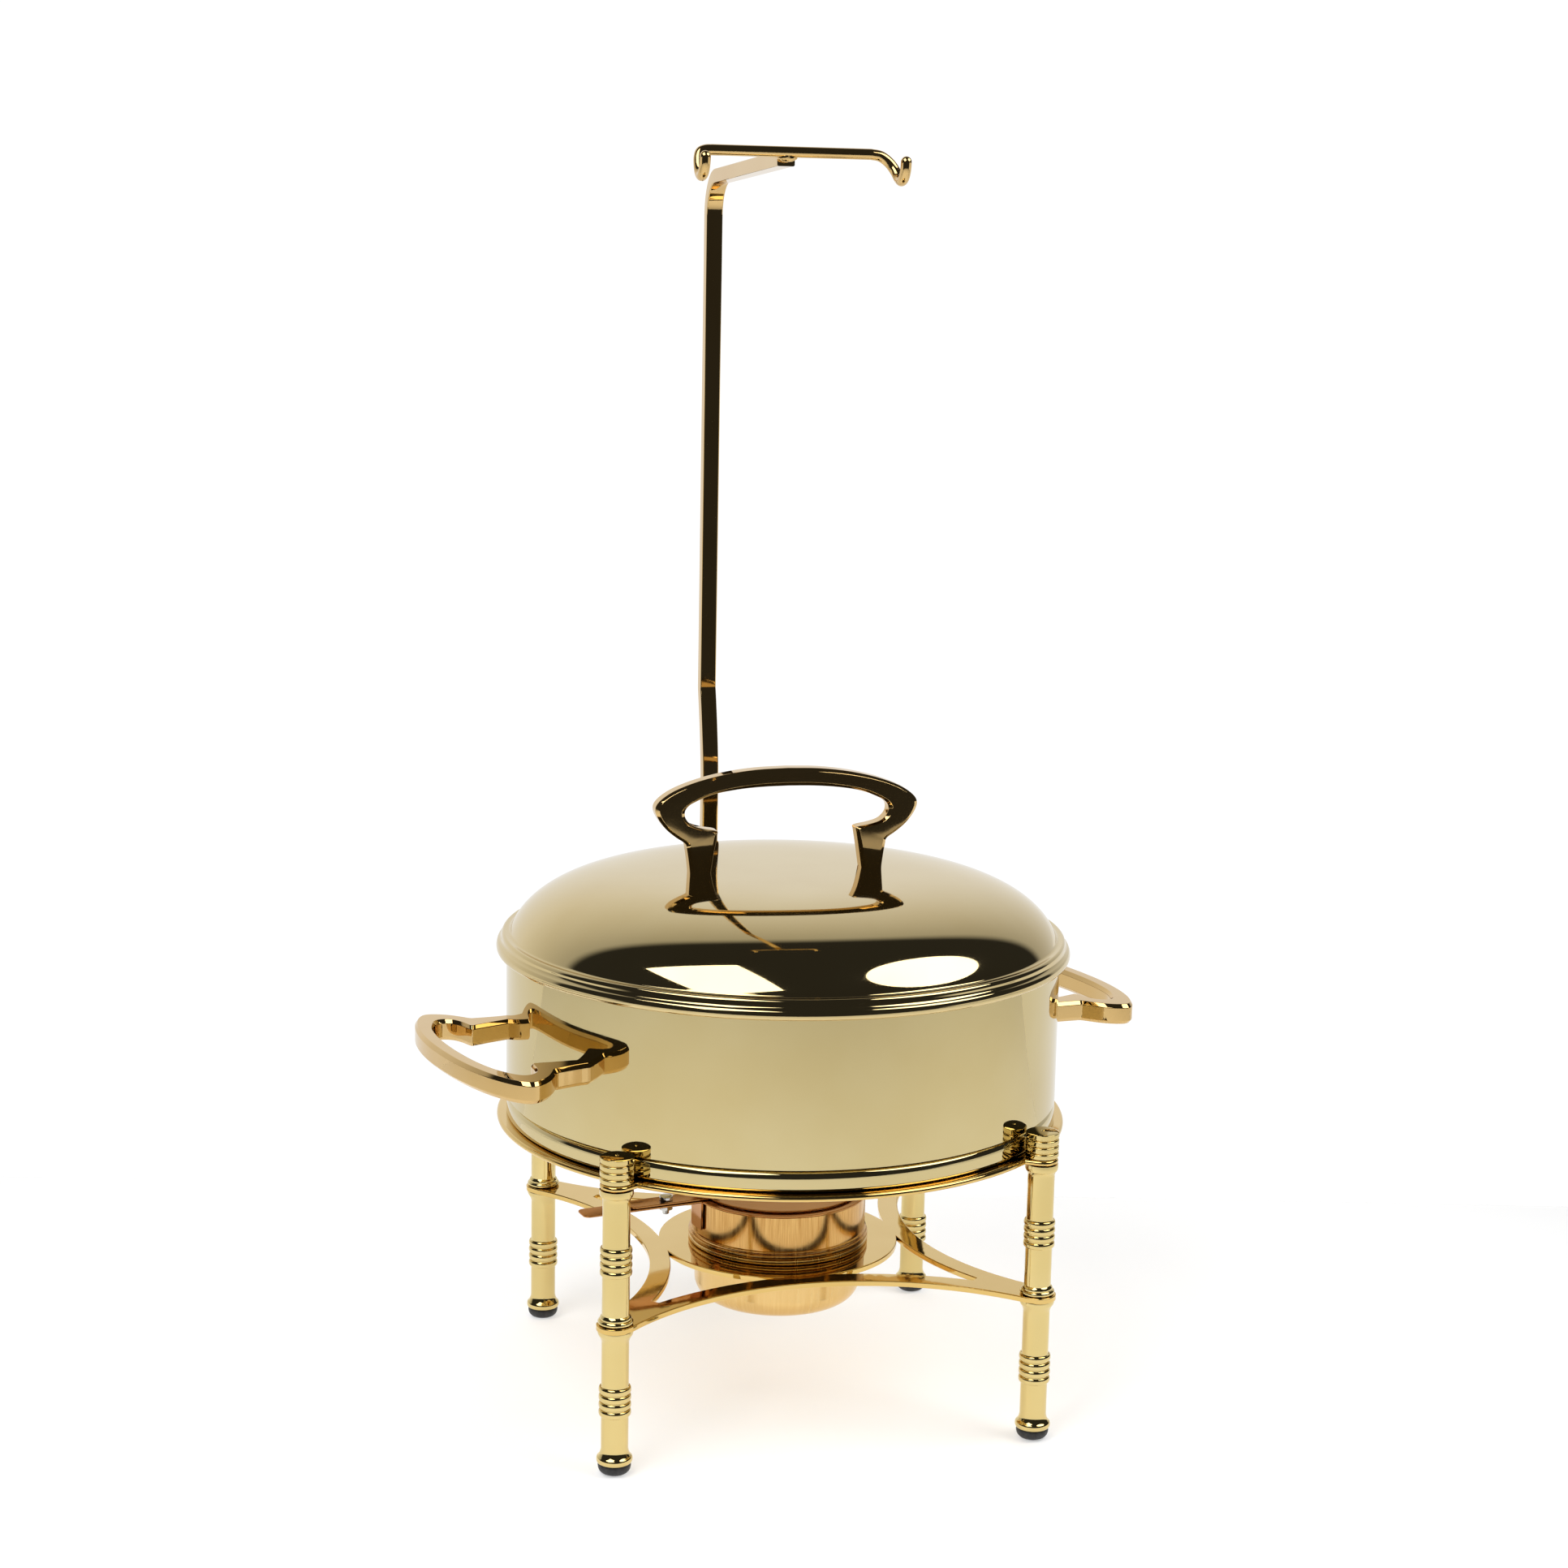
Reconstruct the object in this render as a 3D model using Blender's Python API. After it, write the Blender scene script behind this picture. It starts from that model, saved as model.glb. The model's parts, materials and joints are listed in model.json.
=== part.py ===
"""Round chafing dish food warmer: stand, water pan, food pan, domed lid, lid holder and burner.

Metres, +Z up. The origin is under the middle of the whole warmer, at the level that the feet
stand on. -Y is the guest's side, and the post that carries the lid stands at +Y.
Every piece is shaped about the pan's axis, and the whole is then set back by PAN_AXIS_Y.
"""

import math

import bmesh
import bpy
from mathutils import Matrix, Vector

# ---- driving dimensions -------------------------------------------------------------------
GAP = 0.0003                 # clearance that touching pieces keep
SHEET = 0.0012               # thickness of the pressed sheet metal
PLATE = 0.0035               # thickness of the flat frame plates

PAN_AXIS_Y = -0.0125         # where the pan's axis stands

PAN_R = 0.170                # outer radius of the water pan
PAN_FLOOR_Z = 0.1758
PAN_TOP_Z = 0.2845
PAN_FILLET = 0.0135

RING_TOP_Z = PAN_FLOOR_Z - GAP
RING_R = 0.1757              # outer radius of the upper ring
RING_BORE_R = 0.150

LEG_CIRCLE_R = 0.1807        # distance of each leg from the pan's axis
LEG_R = 0.0080
RIB_R = 0.0095
COLLAR_R = 0.0105
FINIAL_R = 0.0100
FINIAL_TOP_Z = 0.1916
RIBS_LOW_Z = 0.0446          # middle of the turned ribs of the lower leg
RIBS_HIGH_Z = 0.1290         # middle of the turned ribs of the upper leg
LEG_ANGLES = {"front_left": 225, "front_right": 315, "rear_right": 45, "rear_left": 135}

FRAME_TOP_Z = 0.0910         # top of the lower frame plate
FRAME_RING_R = 0.0747        # outer radius of its middle ring
FRAME_BORE_R = 0.0532        # hole that the burner cup hangs in
FRAME_ARC_OUT = (0.1680, 0.0854)   # radius of the outer arcs, nearest distance to the axis
FRAME_ARC_IN = (0.1850, 0.0727)    # the same for the inner arcs
FRAME_LOBE_R = 0.0115        # round end of the plate at each leg
FRAME_ARC_HALF = 0.1180      # half of the chord of an outer arc

LID_TOP_Z = 0.3270
LID_DOME = (0.1704, 0.0512)  # radius and height of the superellipse that the dome follows
LID_DOME_POWERS = (4.18, 0.49)
LID_EDGE_R = 0.1672          # where the dome meets the groove above the rolled bead
LID_BEAD_R = 0.1762
LID_BOTTOM_Z = 0.2775

FOOD_RIM_R = 0.1712
RIM_T = 0.0017               # thickness of the food pan's rim
FOOD_DEPTH = 0.065
FOOD_WALL_R = 0.1585
FOOD_FLOOR_R = 0.1500

HANDLE_W = 0.0130            # thickness of the cast handles
HANDLE_RISE = 0.0643         # foot to top of the loop
HANDLE_TOP_Z = 0.3905        # top of the lid handle
SCREW_R = 0.0020
HANDLE_SCREW_S = 0.0540      # distance of the fixing screws from the handle's middle
SIDE_HANDLE_Z = 0.2315       # mid height of the side handles
SIDE_HANDLE_TURN = 14.9      # the side handles' axis is turned this far from the X axis
SIDE_HANDLE_REACH = 0.2270   # distance of the loop's outer edge from the pan's axis

BURNER_R = 0.0545            # upper sleeve
CUP_R = 0.0520
CUP_FLOOR_Z = 0.0540
SLEEVE_TOP_Z = 0.1213
STRIP_W = 0.0150             # flat handle strip of the burner
STRIP_END_R = 0.1325
STRIP_ANGLE = 191.0
PIVOT_R = 0.0765             # distance of the damper's pivot bolt from the axis
DAMPER_R = 0.0505

POST_X = -0.0065
POST_W = 0.0107              # post width, along X
POST_T = 0.0090              # post depth, along Y
POST_LOW_Y = 0.1845
POST_HIGH_Y = 0.1965
POST_FOOT_Z = 0.1360
JOG_Z = (0.3500, 0.4100)      # heights between which the post steps back
ARM_START = (0.1700, 0.7474)  # distance behind the axis and height, where the arm leaves the bend
ARM_TIP = (0.0038, 0.7529)
BEND_R = 0.0250
LUG_LOW_Z = 0.1400           # lower edge of the ring's lug for the post
POST_BOLT_Z = {"upper": 0.1610, "lower": 0.1470}

ROD_R = 0.0033
ROD_Z = 0.7568
HOOK_X = 0.0600              # distance of each hook from the middle of the rod

FINE = 40                    # sides of the large turned pieces
MEDIUM = 28
SMALL = 12

GOLD = ("polished_gold", (0.83, 0.66, 0.33), 1.0, 0.08)
STEEL = ("polished_steel", (0.72, 0.71, 0.69), 1.0, 0.15)
COPPER = ("copper_gold", (0.80, 0.52, 0.33), 1.0, 0.18)
RUBBER = ("black_rubber", (0.02, 0.02, 0.02), 0.0, 0.65)


# ---- making solids ------------------------------------------------------------------------
def material(look):
    """A Principled material, shared by every piece with the same look."""
    name, colour, metallic, roughness = look
    made = bpy.data.materials.get(name)
    if made is None:
        made = bpy.data.materials.new(name)
        made.use_nodes = True
        shader = made.node_tree.nodes["Principled BSDF"]
        shader.inputs["Base Color"].default_value = (*colour, 1.0)
        shader.inputs["Metallic"].default_value = metallic
        shader.inputs["Roughness"].default_value = roughness
    return made


def add_object(name, bm, look, parent=None, smooth=True):
    """Link a bmesh as a named object; its faces are turned to point out."""
    bmesh.ops.recalc_face_normals(bm, faces=bm.faces)
    mesh = bpy.data.meshes.new(name)
    bm.to_mesh(mesh)
    bm.free()
    mesh.materials.append(material(look))
    if smooth:
        mesh.shade_smooth()
        mesh.set_sharp_from_angle(angle=math.radians(40))
    made = bpy.data.objects.new(name, mesh)
    bpy.context.scene.collection.objects.link(made)
    if parent is not None:
        made.parent = parent
        made.matrix_parent_inverse = parent.matrix_world.inverted()
    return made


def add_empty(name, location, parent=None):
    """An empty on a joint's axis, which the pieces of that body hang from."""
    made = bpy.data.objects.new(name, None)
    made.empty_display_size = 0.03
    made.location = location
    bpy.context.scene.collection.objects.link(made)
    bpy.context.view_layer.update()
    if parent is not None:
        made.parent = parent
        made.matrix_parent_inverse = parent.matrix_world.inverted()
        bpy.context.view_layer.update()
    return made


def turned(outline, sides):
    """Spin a closed outline of (radius, height) points about the Z axis."""
    bm = bmesh.new()
    verts = [bm.verts.new((radius, 0.0, height)) for radius, height in outline]
    edges = [bm.edges.new((verts[i - 1], verts[i])) for i in range(len(verts))]
    bmesh.ops.spin(bm, geom=verts + edges, cent=(0, 0, 0), axis=(0, 0, 1),
                   angle=math.tau, steps=sides, use_merge=True)
    bmesh.ops.remove_doubles(bm, verts=bm.verts, dist=1e-6)
    loose = [edge for edge in bm.edges if not edge.link_faces]
    bmesh.ops.delete(bm, geom=loose, context="EDGES")
    return bm


def flat(loops, bottom, top):
    """Extrude a flat region, bounded by an outer loop and any holes, from bottom to top."""
    bm = bmesh.new()
    edges = []
    for loop in loops:
        verts = [bm.verts.new((x, y, bottom)) for x, y in loop]
        edges += [bm.edges.new((verts[i - 1], verts[i])) for i in range(len(verts))]
    if len(loops) == 1:
        bm.faces.new(verts)
    else:
        bmesh.ops.triangle_fill(bm, use_beauty=True, edges=edges)
    made = bmesh.ops.extrude_face_region(bm, geom=bm.faces[:], use_keep_orig=True)
    moved = [item for item in made["geom"] if isinstance(item, bmesh.types.BMVert)]
    bmesh.ops.translate(bm, verts=moved, vec=(0, 0, top - bottom))
    return bm


def rod(radius, low, high, sides=SMALL):
    """A plain cylinder on the Z axis."""
    return turned([(0, low), (radius, low), (radius, high), (0, high)], sides)


def box(low, high):
    """An upright box between two corners."""
    return flat([[(low[0], low[1]), (high[0], low[1]), (high[0], high[1]), (low[0], high[1])]],
                low[2], high[2])


def moved(bm, matrix):
    """The same bmesh, turned and shifted by a matrix."""
    bmesh.ops.transform(bm, matrix=matrix, verts=bm.verts)
    return bm


def arc(centre, radius, start, end, steps):
    """Points on an arc, from the start angle to the end angle in degrees."""
    points = []
    for i in range(steps + 1):
        angle = math.radians(start + (end - start) * i / steps)
        points.append((centre[0] + radius * math.cos(angle), centre[1] + radius * math.sin(angle)))
    return points


def circle(centre, radius, steps):
    """A closed loop of points on a circle."""
    return arc(centre, radius, 0, 360, steps)[:-1]


def boolean(target, cutter, operation):
    """Cut with a helper solid, or join one on."""
    step = target.modifiers.new(operation.lower(), "BOOLEAN")
    step.operation = operation
    step.object = cutter
    step.solver = "EXACT"
    return step


def helper(name, bm):
    """A solid that only shapes other pieces."""
    made = add_object(name, bm, STEEL, smooth=False)
    made.hide_render = True
    made.display_type = "WIRE"
    return made


def chamfer(target, width):
    """Bevel the long edges of a flat or cast piece."""
    step = target.modifiers.new("chamfer", "BEVEL")
    step.width = width
    step.segments = 1
    step.limit_method = "ANGLE"
    step.angle_limit = math.radians(50)


# ---- the stand ----------------------------------------------------------------------------
def leg_xy(angle):
    """Where a leg's axis is, in plan."""
    turn = math.radians(angle)
    return LEG_CIRCLE_R * math.cos(turn), LEG_CIRCLE_R * math.sin(turn)


def ribs(middle, rises):
    """Outline points of a group of turned ribs, listed upwards."""
    pitch = 0.0042
    points = []
    low = middle - pitch * len(rises) / 2
    for i, rise in enumerate(rises):
        base = low + pitch * i
        points += [(LEG_R, base), (LEG_R + rise, base + pitch * 0.3),
                   (LEG_R + rise, base + pitch * 0.7)]
    points.append((LEG_R, low + pitch * len(rises)))
    return points


def build_leg(name, angle):
    """One leg: rubber foot, lower leg, stud through the frame plate, upper leg and finial."""
    x, y = leg_xy(angle)
    place = Matrix.Translation((x, y, 0))
    foot_h = 0.0062
    stem_r = 0.0045
    stem_top = 0.0160
    stud_r = 0.0040
    stud_depth = 0.0130
    pin_r = 0.0030
    pin_depth = 0.0100
    frame_low = FRAME_TOP_Z - PLATE
    ring_low = RING_TOP_Z - PLATE
    collar_h = 0.0062
    rises = (RIB_R - LEG_R, RIB_R - LEG_R, RIB_R - LEG_R)

    foot = turned([(0, 0), (0.0060, 0), (0.0088, 0.0018), (0.0096, 0.0045), (0.0096, foot_h),
                   (stem_r, foot_h), (stem_r, stem_top), (0, stem_top)], SMALL)
    add_object(f"{name}_foot", moved(foot, place), RUBBER)

    low = foot_h + GAP
    top = frame_low - GAP
    lower = [(stem_r + GAP, low), (0.0102, low), (0.0102, low + 0.0020), (0.0092, low + 0.0045),
             (LEG_R, low + 0.0075)]
    lower += ribs(RIBS_LOW_Z, rises)
    lower += [(LEG_R, top - collar_h - 0.0015), (COLLAR_R, top - collar_h * 0.45),
              (COLLAR_R, top), (stud_r + GAP, top), (stud_r + GAP, top - stud_depth - GAP),
              (0, top - stud_depth - GAP), (0, stem_top + GAP), (stem_r + GAP, stem_top + GAP)]
    add_object(f"{name}_lower_leg", moved(turned(lower, SMALL), place), GOLD)

    stud = rod(stud_r, top - stud_depth, FRAME_TOP_Z + GAP + stud_depth)
    add_object(f"{name}_leg_stud", moved(stud, place), STEEL)

    low = FRAME_TOP_Z + GAP
    top = ring_low - GAP
    upper = [(stud_r + GAP, low), (COLLAR_R, low), (COLLAR_R, low + 0.0035),
             (LEG_R, low + 0.0060)]
    upper += ribs(RIBS_HIGH_Z, rises)
    upper += [(LEG_R, top - 0.0075), (0.0094, top - 0.0050), (0.0094, top),
              (pin_r + GAP, top), (pin_r + GAP, top - pin_depth - GAP),
              (0, top - pin_depth - GAP), (0, low + stud_depth + GAP),
              (stud_r + GAP, low + stud_depth + GAP)]
    add_object(f"{name}_upper_leg", moved(turned(upper, SMALL), place), GOLD)

    low = RING_TOP_Z + GAP
    waist = FINIAL_R - 0.0014
    head = FINIAL_TOP_Z - low
    outline = [(0, top - pin_depth), (pin_r, top - pin_depth), (pin_r, low), (waist, low)]
    for i in range(4):
        base = low + head * i / 4
        outline += [(FINIAL_R, base + head * 0.06), (FINIAL_R, base + head * 0.19)]
        if i < 3:
            outline.append((waist, base + head * 0.25))
    outline += [(FINIAL_R - 0.0005, FINIAL_TOP_Z), (0, FINIAL_TOP_Z)]
    add_object(f"{name}_finial", moved(turned(outline, SMALL), place), GOLD)


def frame_outline():
    """The lower plate's outer edge: four hollow arcs that meet in a round lobe at each leg."""
    radius, nearest = FRAME_ARC_OUT
    centre = radius + nearest
    half = math.degrees(math.asin(FRAME_ARC_HALF / radius))
    loop = []
    for side in range(4):
        facing = math.radians(90 * side)
        middle = (centre * math.cos(facing), centre * math.sin(facing))
        loop += arc(middle, radius, 90 * side + 180 + half, 90 * side + 180 - half, 10)
        leg = 90 * side + 45
        loop += arc(leg_xy(leg), FRAME_LOBE_R, leg - 75, leg + 75, 6)
    return loop


def frame_window(side):
    """One of the openings of the lower plate, between the middle ring and two inner arcs."""
    radius, nearest = FRAME_ARC_IN
    centre = radius + nearest
    corner = 90 * side + 45
    spread = 34.0
    loop = arc((0, 0), FRAME_RING_R, corner + spread, corner - spread, 8)
    for facing, turn in ((90 * side, -1), (90 * side + 90, 1)):
        middle = (centre * math.cos(math.radians(facing)), centre * math.sin(math.radians(facing)))
        near, far = 8.0, 31.5
        back = facing + 180
        if turn < 0:
            loop += arc(middle, radius, back - near, back - far, 8)
        else:
            loop += arc(middle, radius, back + far, back + near, 8)
    return loop


def build_frames():
    """The two flat plates that tie the legs together."""
    stud_hole = 0.0043 + GAP
    pin_hole = 0.0036
    holes = [circle((0, 0), FRAME_BORE_R, FINE)]
    holes += [frame_window(side) for side in range(4)]
    holes += [circle(leg_xy(angle), stud_hole, 8) for angle in LEG_ANGLES.values()]
    lower = flat([frame_outline()] + holes, FRAME_TOP_Z - PLATE, FRAME_TOP_Z)
    add_object("lower_frame_plate", lower, GOLD, smooth=False)

    ear_r = 0.0100
    outline = []
    for angle in (45, 135, 225, 315):
        outline += arc((0, 0), RING_R, angle - 84, angle - 4.2, 9)
        outline += arc(leg_xy(angle), ear_r, angle - 80, angle + 80, 6)
    holes = [circle((0, 0), RING_BORE_R, FINE)]
    holes += [circle(leg_xy(angle), pin_hole, 8) for angle in LEG_ANGLES.values()]
    ring = add_object("upper_ring", flat([outline] + holes, RING_TOP_Z - PLATE, RING_TOP_Z), GOLD,
                      smooth=False)

    half = 0.0090
    back = POST_LOW_Y - POST_T / 2 - GAP
    lug = [(0.1680, RING_TOP_Z - PLATE), (back - PLATE, RING_TOP_Z - PLATE),
           (back - PLATE, LUG_LOW_Z), (back, LUG_LOW_Z), (back, RING_TOP_Z), (0.1680, RING_TOP_Z)]
    turn = Matrix(((0, 0, 1, POST_X), (1, 0, 0, 0), (0, 1, 0, 0), (0, 0, 0, 1)))
    boolean(ring, helper("lug_shape", moved(flat([lug], -half, half), turn)), "UNION")
    return ring


def offset_path(path, distance):
    """The path moved sideways by a distance, with mitred corners."""
    points = []
    for i, point in enumerate(path):
        before = Vector(path[max(i - 1, 0)])
        after = Vector(path[min(i + 1, len(path) - 1)])
        here = Vector(point)
        first = (here - before).normalized() if i else (after - here).normalized()
        second = (after - here).normalized() if i < len(path) - 1 else first
        normal = Vector((-(first + second).y, (first + second).x)).normalized()
        stretch = 1.0 / max(normal.dot(Vector((-first.y, first.x))), 0.3)
        points.append(tuple(here + normal * distance * stretch))
    return points


def build_post(ring):
    """The bent flat bar that carries the lid, and the two bolts that hold it to the ring."""
    steps = 8
    corner = (POST_HIGH_Y - BEND_R, ARM_START[1] - BEND_R)
    path = [(POST_LOW_Y, POST_FOOT_Z)]
    for i in range(steps + 1):
        share = i / steps
        ease = share * share * (3 - 2 * share)
        path.append((POST_LOW_Y + (POST_HIGH_Y - POST_LOW_Y) * ease,
                     JOG_Z[0] + (JOG_Z[1] - JOG_Z[0]) * share))
    path += arc(corner, BEND_R, 0, 90, 6)
    path.append(ARM_TIP)
    outline = offset_path(path, POST_T / 2) + offset_path(path, -POST_T / 2)[::-1]
    turn = Matrix(((0, 0, 1, POST_X), (1, 0, 0, 0), (0, 1, 0, 0), (0, 0, 0, 1)))
    post = add_object("lid_holder_post", moved(flat([outline], -POST_W / 2, POST_W / 2), turn), GOLD,
                      smooth=False)

    shank = 0.0021
    back = POST_LOW_Y + POST_T / 2 + GAP
    front = POST_LOW_Y - POST_T / 2 - GAP - PLATE - GAP
    for name, height in POST_BOLT_Z.items():
        along = Matrix.Translation((POST_X, 0, height)) @ Matrix.Rotation(-math.pi / 2, 4, "X")
        bore = helper(f"post_bolt_{name}_bore", moved(rod(shank + GAP, front, back, 10), along))
        boolean(post, bore, "DIFFERENCE")
        boolean(ring, bore, "DIFFERENCE")
        bolt = turned([(0, front - 0.0050), (shank, front - 0.0050), (shank, back),
                       (0.0042, back), (0.0042, back + 0.0014), (0.0026, back + 0.0028),
                       (0, back + 0.0028)], 10)
        add_object(f"post_bolt_{name}", moved(bolt, along), STEEL)
        nut = flat([circle((0, 0), 0.0046, 6), circle((0, 0), shank + GAP, 10)],
                   front - 0.0034, front)
        add_object(f"post_nut_{name}", moved(nut, along), STEEL, smooth=False)


def smooth_route(points, steps):
    """A smooth curve through hand-chosen points (Catmull-Rom)."""
    padded = [points[0]] + points + [points[-1]]
    route = []
    for i in range(len(points) - 1):
        a, b, c, d = (Vector(padded[i + k]) for k in range(4))
        for j in range(steps):
            t = j / steps
            route.append(0.5 * (2 * b + (c - a) * t + (2 * a - 5 * b + 4 * c - d) * t * t
                                + (3 * b - 3 * c + d - a) * t * t * t))
    route.append(Vector(points[-1]))
    return route


def build_hanger():
    """The round rod on the arm's end, bent into a hook at each side."""
    hook = [(HOOK_X, -0.0205, 0.7520), (HOOK_X, -0.0190, 0.7448), (HOOK_X, -0.0125, 0.7414),
            (HOOK_X, -0.0060, 0.7445), (HOOK_X - 0.0015, -0.0015, 0.7510),
            (HOOK_X - 0.0070, 0.0, 0.7555), (HOOK_X - 0.0150, 0.0, ROD_Z)]
    right = smooth_route(hook, 4)
    left = [Vector((-point.x, point.y, point.z)) for point in reversed(right)]
    route = right + left
    curve = bpy.data.curves.new("hanger_rod", "CURVE")
    curve.dimensions = "3D"
    curve.bevel_depth = ROD_R
    curve.bevel_resolution = 1
    curve.use_fill_caps = True
    spline = curve.splines.new("POLY")
    spline.points.add(len(route) - 1)
    for point, place in zip(spline.points, route):
        point.co = (*place, 1.0)
    curve.materials.append(material(GOLD))
    made = bpy.data.objects.new("hanger_rod", curve)
    bpy.context.scene.collection.objects.link(made)


# ---- the cast handles ---------------------------------------------------------------------
def handle_outline(foot_drop):
    """The cast loop in its own plane: across, and height above the feet.

    foot_drop lengthens the feet below the height of zero, for the piece they stand on to trim.
    """
    outer = [(0.0600, -foot_drop), (0.0615, 0.0100), (0.0628, 0.0190), (0.0700, 0.0235),
             (0.0775, 0.0305), (0.0820, 0.0380), (0.0822, 0.0425), (0.0740, 0.0505),
             (0.0600, 0.0566), (0.0400, 0.0612), (0.0200, 0.0636), (0.0, HANDLE_RISE)]
    inner = [(0.0, 0.0530), (0.0250, 0.0520), (0.0450, 0.0490), (0.0570, 0.0448),
             (0.0632, 0.0395), (0.0640, 0.0350), (0.0600, 0.0305), (0.0530, 0.0282),
             (0.0430, 0.0265), (0.0475, -foot_drop)]
    right = outer
    left = [(-across, rise) for across, rise in reversed(outer[:-1])]
    left_inner = [(-across, rise) for across, rise in reversed(inner[1:])]
    return right + left + left_inner + inner


def build_handle(name, matrix, seat, screws, parent):
    """One cast handle. seat is the solid that trims its feet, screws their axis matrices."""
    loop = flat([handle_outline(0.0100)], -HANDLE_W / 2, HANDLE_W / 2)
    made = add_object(name, moved(loop, matrix), GOLD, parent)
    chamfer(made, 0.0018)
    boolean(made, seat, "DIFFERENCE")
    for side, axis in screws.items():
        bore = helper(f"{name}_{side}_bore", moved(rod(SCREW_R + GAP, -0.0030, 0.0090, 8), axis))
        boolean(made, bore, "DIFFERENCE")
        boolean(seat_shell[parent.name], bore, "DIFFERENCE")
        head = turned([(0, -0.0040), (0.0034, -0.0040), (0.0044, -0.0026), (0.0044, -0.0011),
                       (SCREW_R, -0.0011), (SCREW_R, 0.0085), (0, 0.0085)], 10)
        add_object(f"{name}_{side}_screw", moved(head, axis), STEEL, parent)


seat_shell = {}              # the shell that each body's handles are screwed to


# ---- pans and lid -------------------------------------------------------------------------
def build_water_pan(body):
    """The deep outer pan, with its rounded lower edge and two side handles."""
    corner_r = PAN_R - PAN_FILLET
    corner_z = PAN_FLOOR_Z + PAN_FILLET
    outline = [(0, PAN_FLOOR_Z)] + arc((corner_r, corner_z), PAN_FILLET, -90, 0, 5)
    outline += [(PAN_R, PAN_TOP_Z), (PAN_R - SHEET, PAN_TOP_Z)]
    outline += arc((corner_r, corner_z), PAN_FILLET - SHEET, 0, -90, 4)
    outline.append((0, PAN_FLOOR_Z + SHEET))
    pan = add_object("water_pan", turned(outline, FINE), GOLD, body)
    seat_shell[body.name] = pan

    seat = helper("pan_wall_seat", turned([(0, 0.200), (PAN_R + GAP, 0.200),
                                           (PAN_R + GAP, 0.260), (0, 0.260)], 96))
    swing = math.degrees(math.asin(HANDLE_SCREW_S / PAN_R))
    for name, facing in (("left_handle", 180 + SIDE_HANDLE_TURN), ("right_handle", SIDE_HANDLE_TURN)):
        turn = Matrix.Rotation(math.radians(facing), 4, "Z")
        lay = Matrix(((0, 1, 0, SIDE_HANDLE_REACH - HANDLE_RISE), (1, 0, 0, 0),
                      (0, 0, 1, SIDE_HANDLE_Z), (0, 0, 0, 1)))
        screws = {}
        for side, sign in (("front", -1 if facing < 90 else 1), ("rear", 1 if facing < 90 else -1)):
            spin = Matrix.Rotation(math.radians(facing + sign * swing), 4, "Z")
            reach = Matrix.Translation((PAN_R - SHEET, 0, SIDE_HANDLE_Z))
            screws[side] = spin @ reach @ Matrix.Rotation(math.pi / 2, 4, "Y")
        build_handle(name, turn @ lay, seat, screws, body)


def build_food_pan(body):
    """The removable food pan, hung by its flat rim on the water pan."""
    rim_low = PAN_TOP_Z + GAP
    rim_top = rim_low + RIM_T
    floor = rim_top - FOOD_DEPTH
    fillet = 0.0120
    corner = (FOOD_FLOOR_R - fillet * 0.4, floor + fillet)
    outline = [(0, floor)] + arc(corner, fillet, -90, -8, 4)
    outline += [(FOOD_WALL_R, rim_low), (FOOD_RIM_R, rim_low), (FOOD_RIM_R, rim_top),
                (FOOD_WALL_R - SHEET - 0.0010, rim_top)]
    outline += arc(corner, fillet - SHEET, -8, -90, 4) + [(0, floor + SHEET)]
    add_object("food_pan", turned(outline, FINE), STEEL, body)


def dome_height(radius, drop=0.0):
    """Height of the dome's outer face, or of a face that lies a drop below it."""
    radius_max, height = LID_DOME
    first, second = LID_DOME_POWERS
    share = max(1.0 - (radius / radius_max) ** first, 0.0)
    return LID_TOP_Z - height + height * share ** second - drop


def dome_inside(radius):
    """The point one sheet thickness inside the dome's outer face at a radius."""
    step = 0.0001
    slope = math.atan((dome_height(radius - step) - dome_height(radius + step)) / (2 * step))
    return radius - SHEET * math.sin(slope), dome_height(radius) - SHEET * math.cos(slope)


def build_lid(body):
    """The domed lid with its groove and rolled bead, its handle and two screws."""
    shares = [0.36, 0.56, 0.70, 0.81, 0.89, 0.95, 0.985]
    top = [(0, dome_height(0))]
    top += [(LID_EDGE_R * share, dome_height(LID_EDGE_R * share)) for share in shares]
    rim = [(LID_EDGE_R, dome_height(LID_EDGE_R)), (0.1680, 0.2896), (0.1712, 0.2892),
           (0.1730, 0.2878), (0.1736, 0.2850), (0.1754, 0.2828), (LID_BEAD_R, 0.2802),
           (0.1757, 0.2784), (0.1748, LID_BOTTOM_Z)]
    seat_z = PAN_TOP_Z + GAP + RIM_T + GAP
    inner = [(0.1718, LID_BOTTOM_Z), (0.1718, seat_z), (0.1662, seat_z), (0.1656, 0.2898)]
    under = [dome_inside(LID_EDGE_R * share) for share in reversed(shares)]
    outline = top + rim + inner + under + [(0, dome_height(0, SHEET))]
    lid = add_object("lid_dome", turned(outline[::-1], FINE), GOLD, body)
    seat_shell[body.name] = lid

    steps = 8
    reach = 0.090
    cap = [(0, 0.290), (reach, 0.290)]
    cap += [(reach * (1 - i / steps), dome_height(reach * (1 - i / steps)) + GAP)
            for i in range(steps + 1)]
    seat = helper("lid_dome_seat", turned(cap, 96))
    stand_up = Matrix(((1, 0, 0, 0), (0, 0, 1, 0), (0, 1, 0, HANDLE_TOP_Z - HANDLE_RISE),
                       (0, 0, 0, 1)))
    screws = {}
    for side, sign in (("left", -1), ("right", 1)):
        height = dome_height(HANDLE_SCREW_S + 0.0045, SHEET)
        screws[side] = Matrix.Translation((sign * HANDLE_SCREW_S, 0, height))
    build_handle("lid_handle", stand_up, seat, screws, body)


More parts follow.
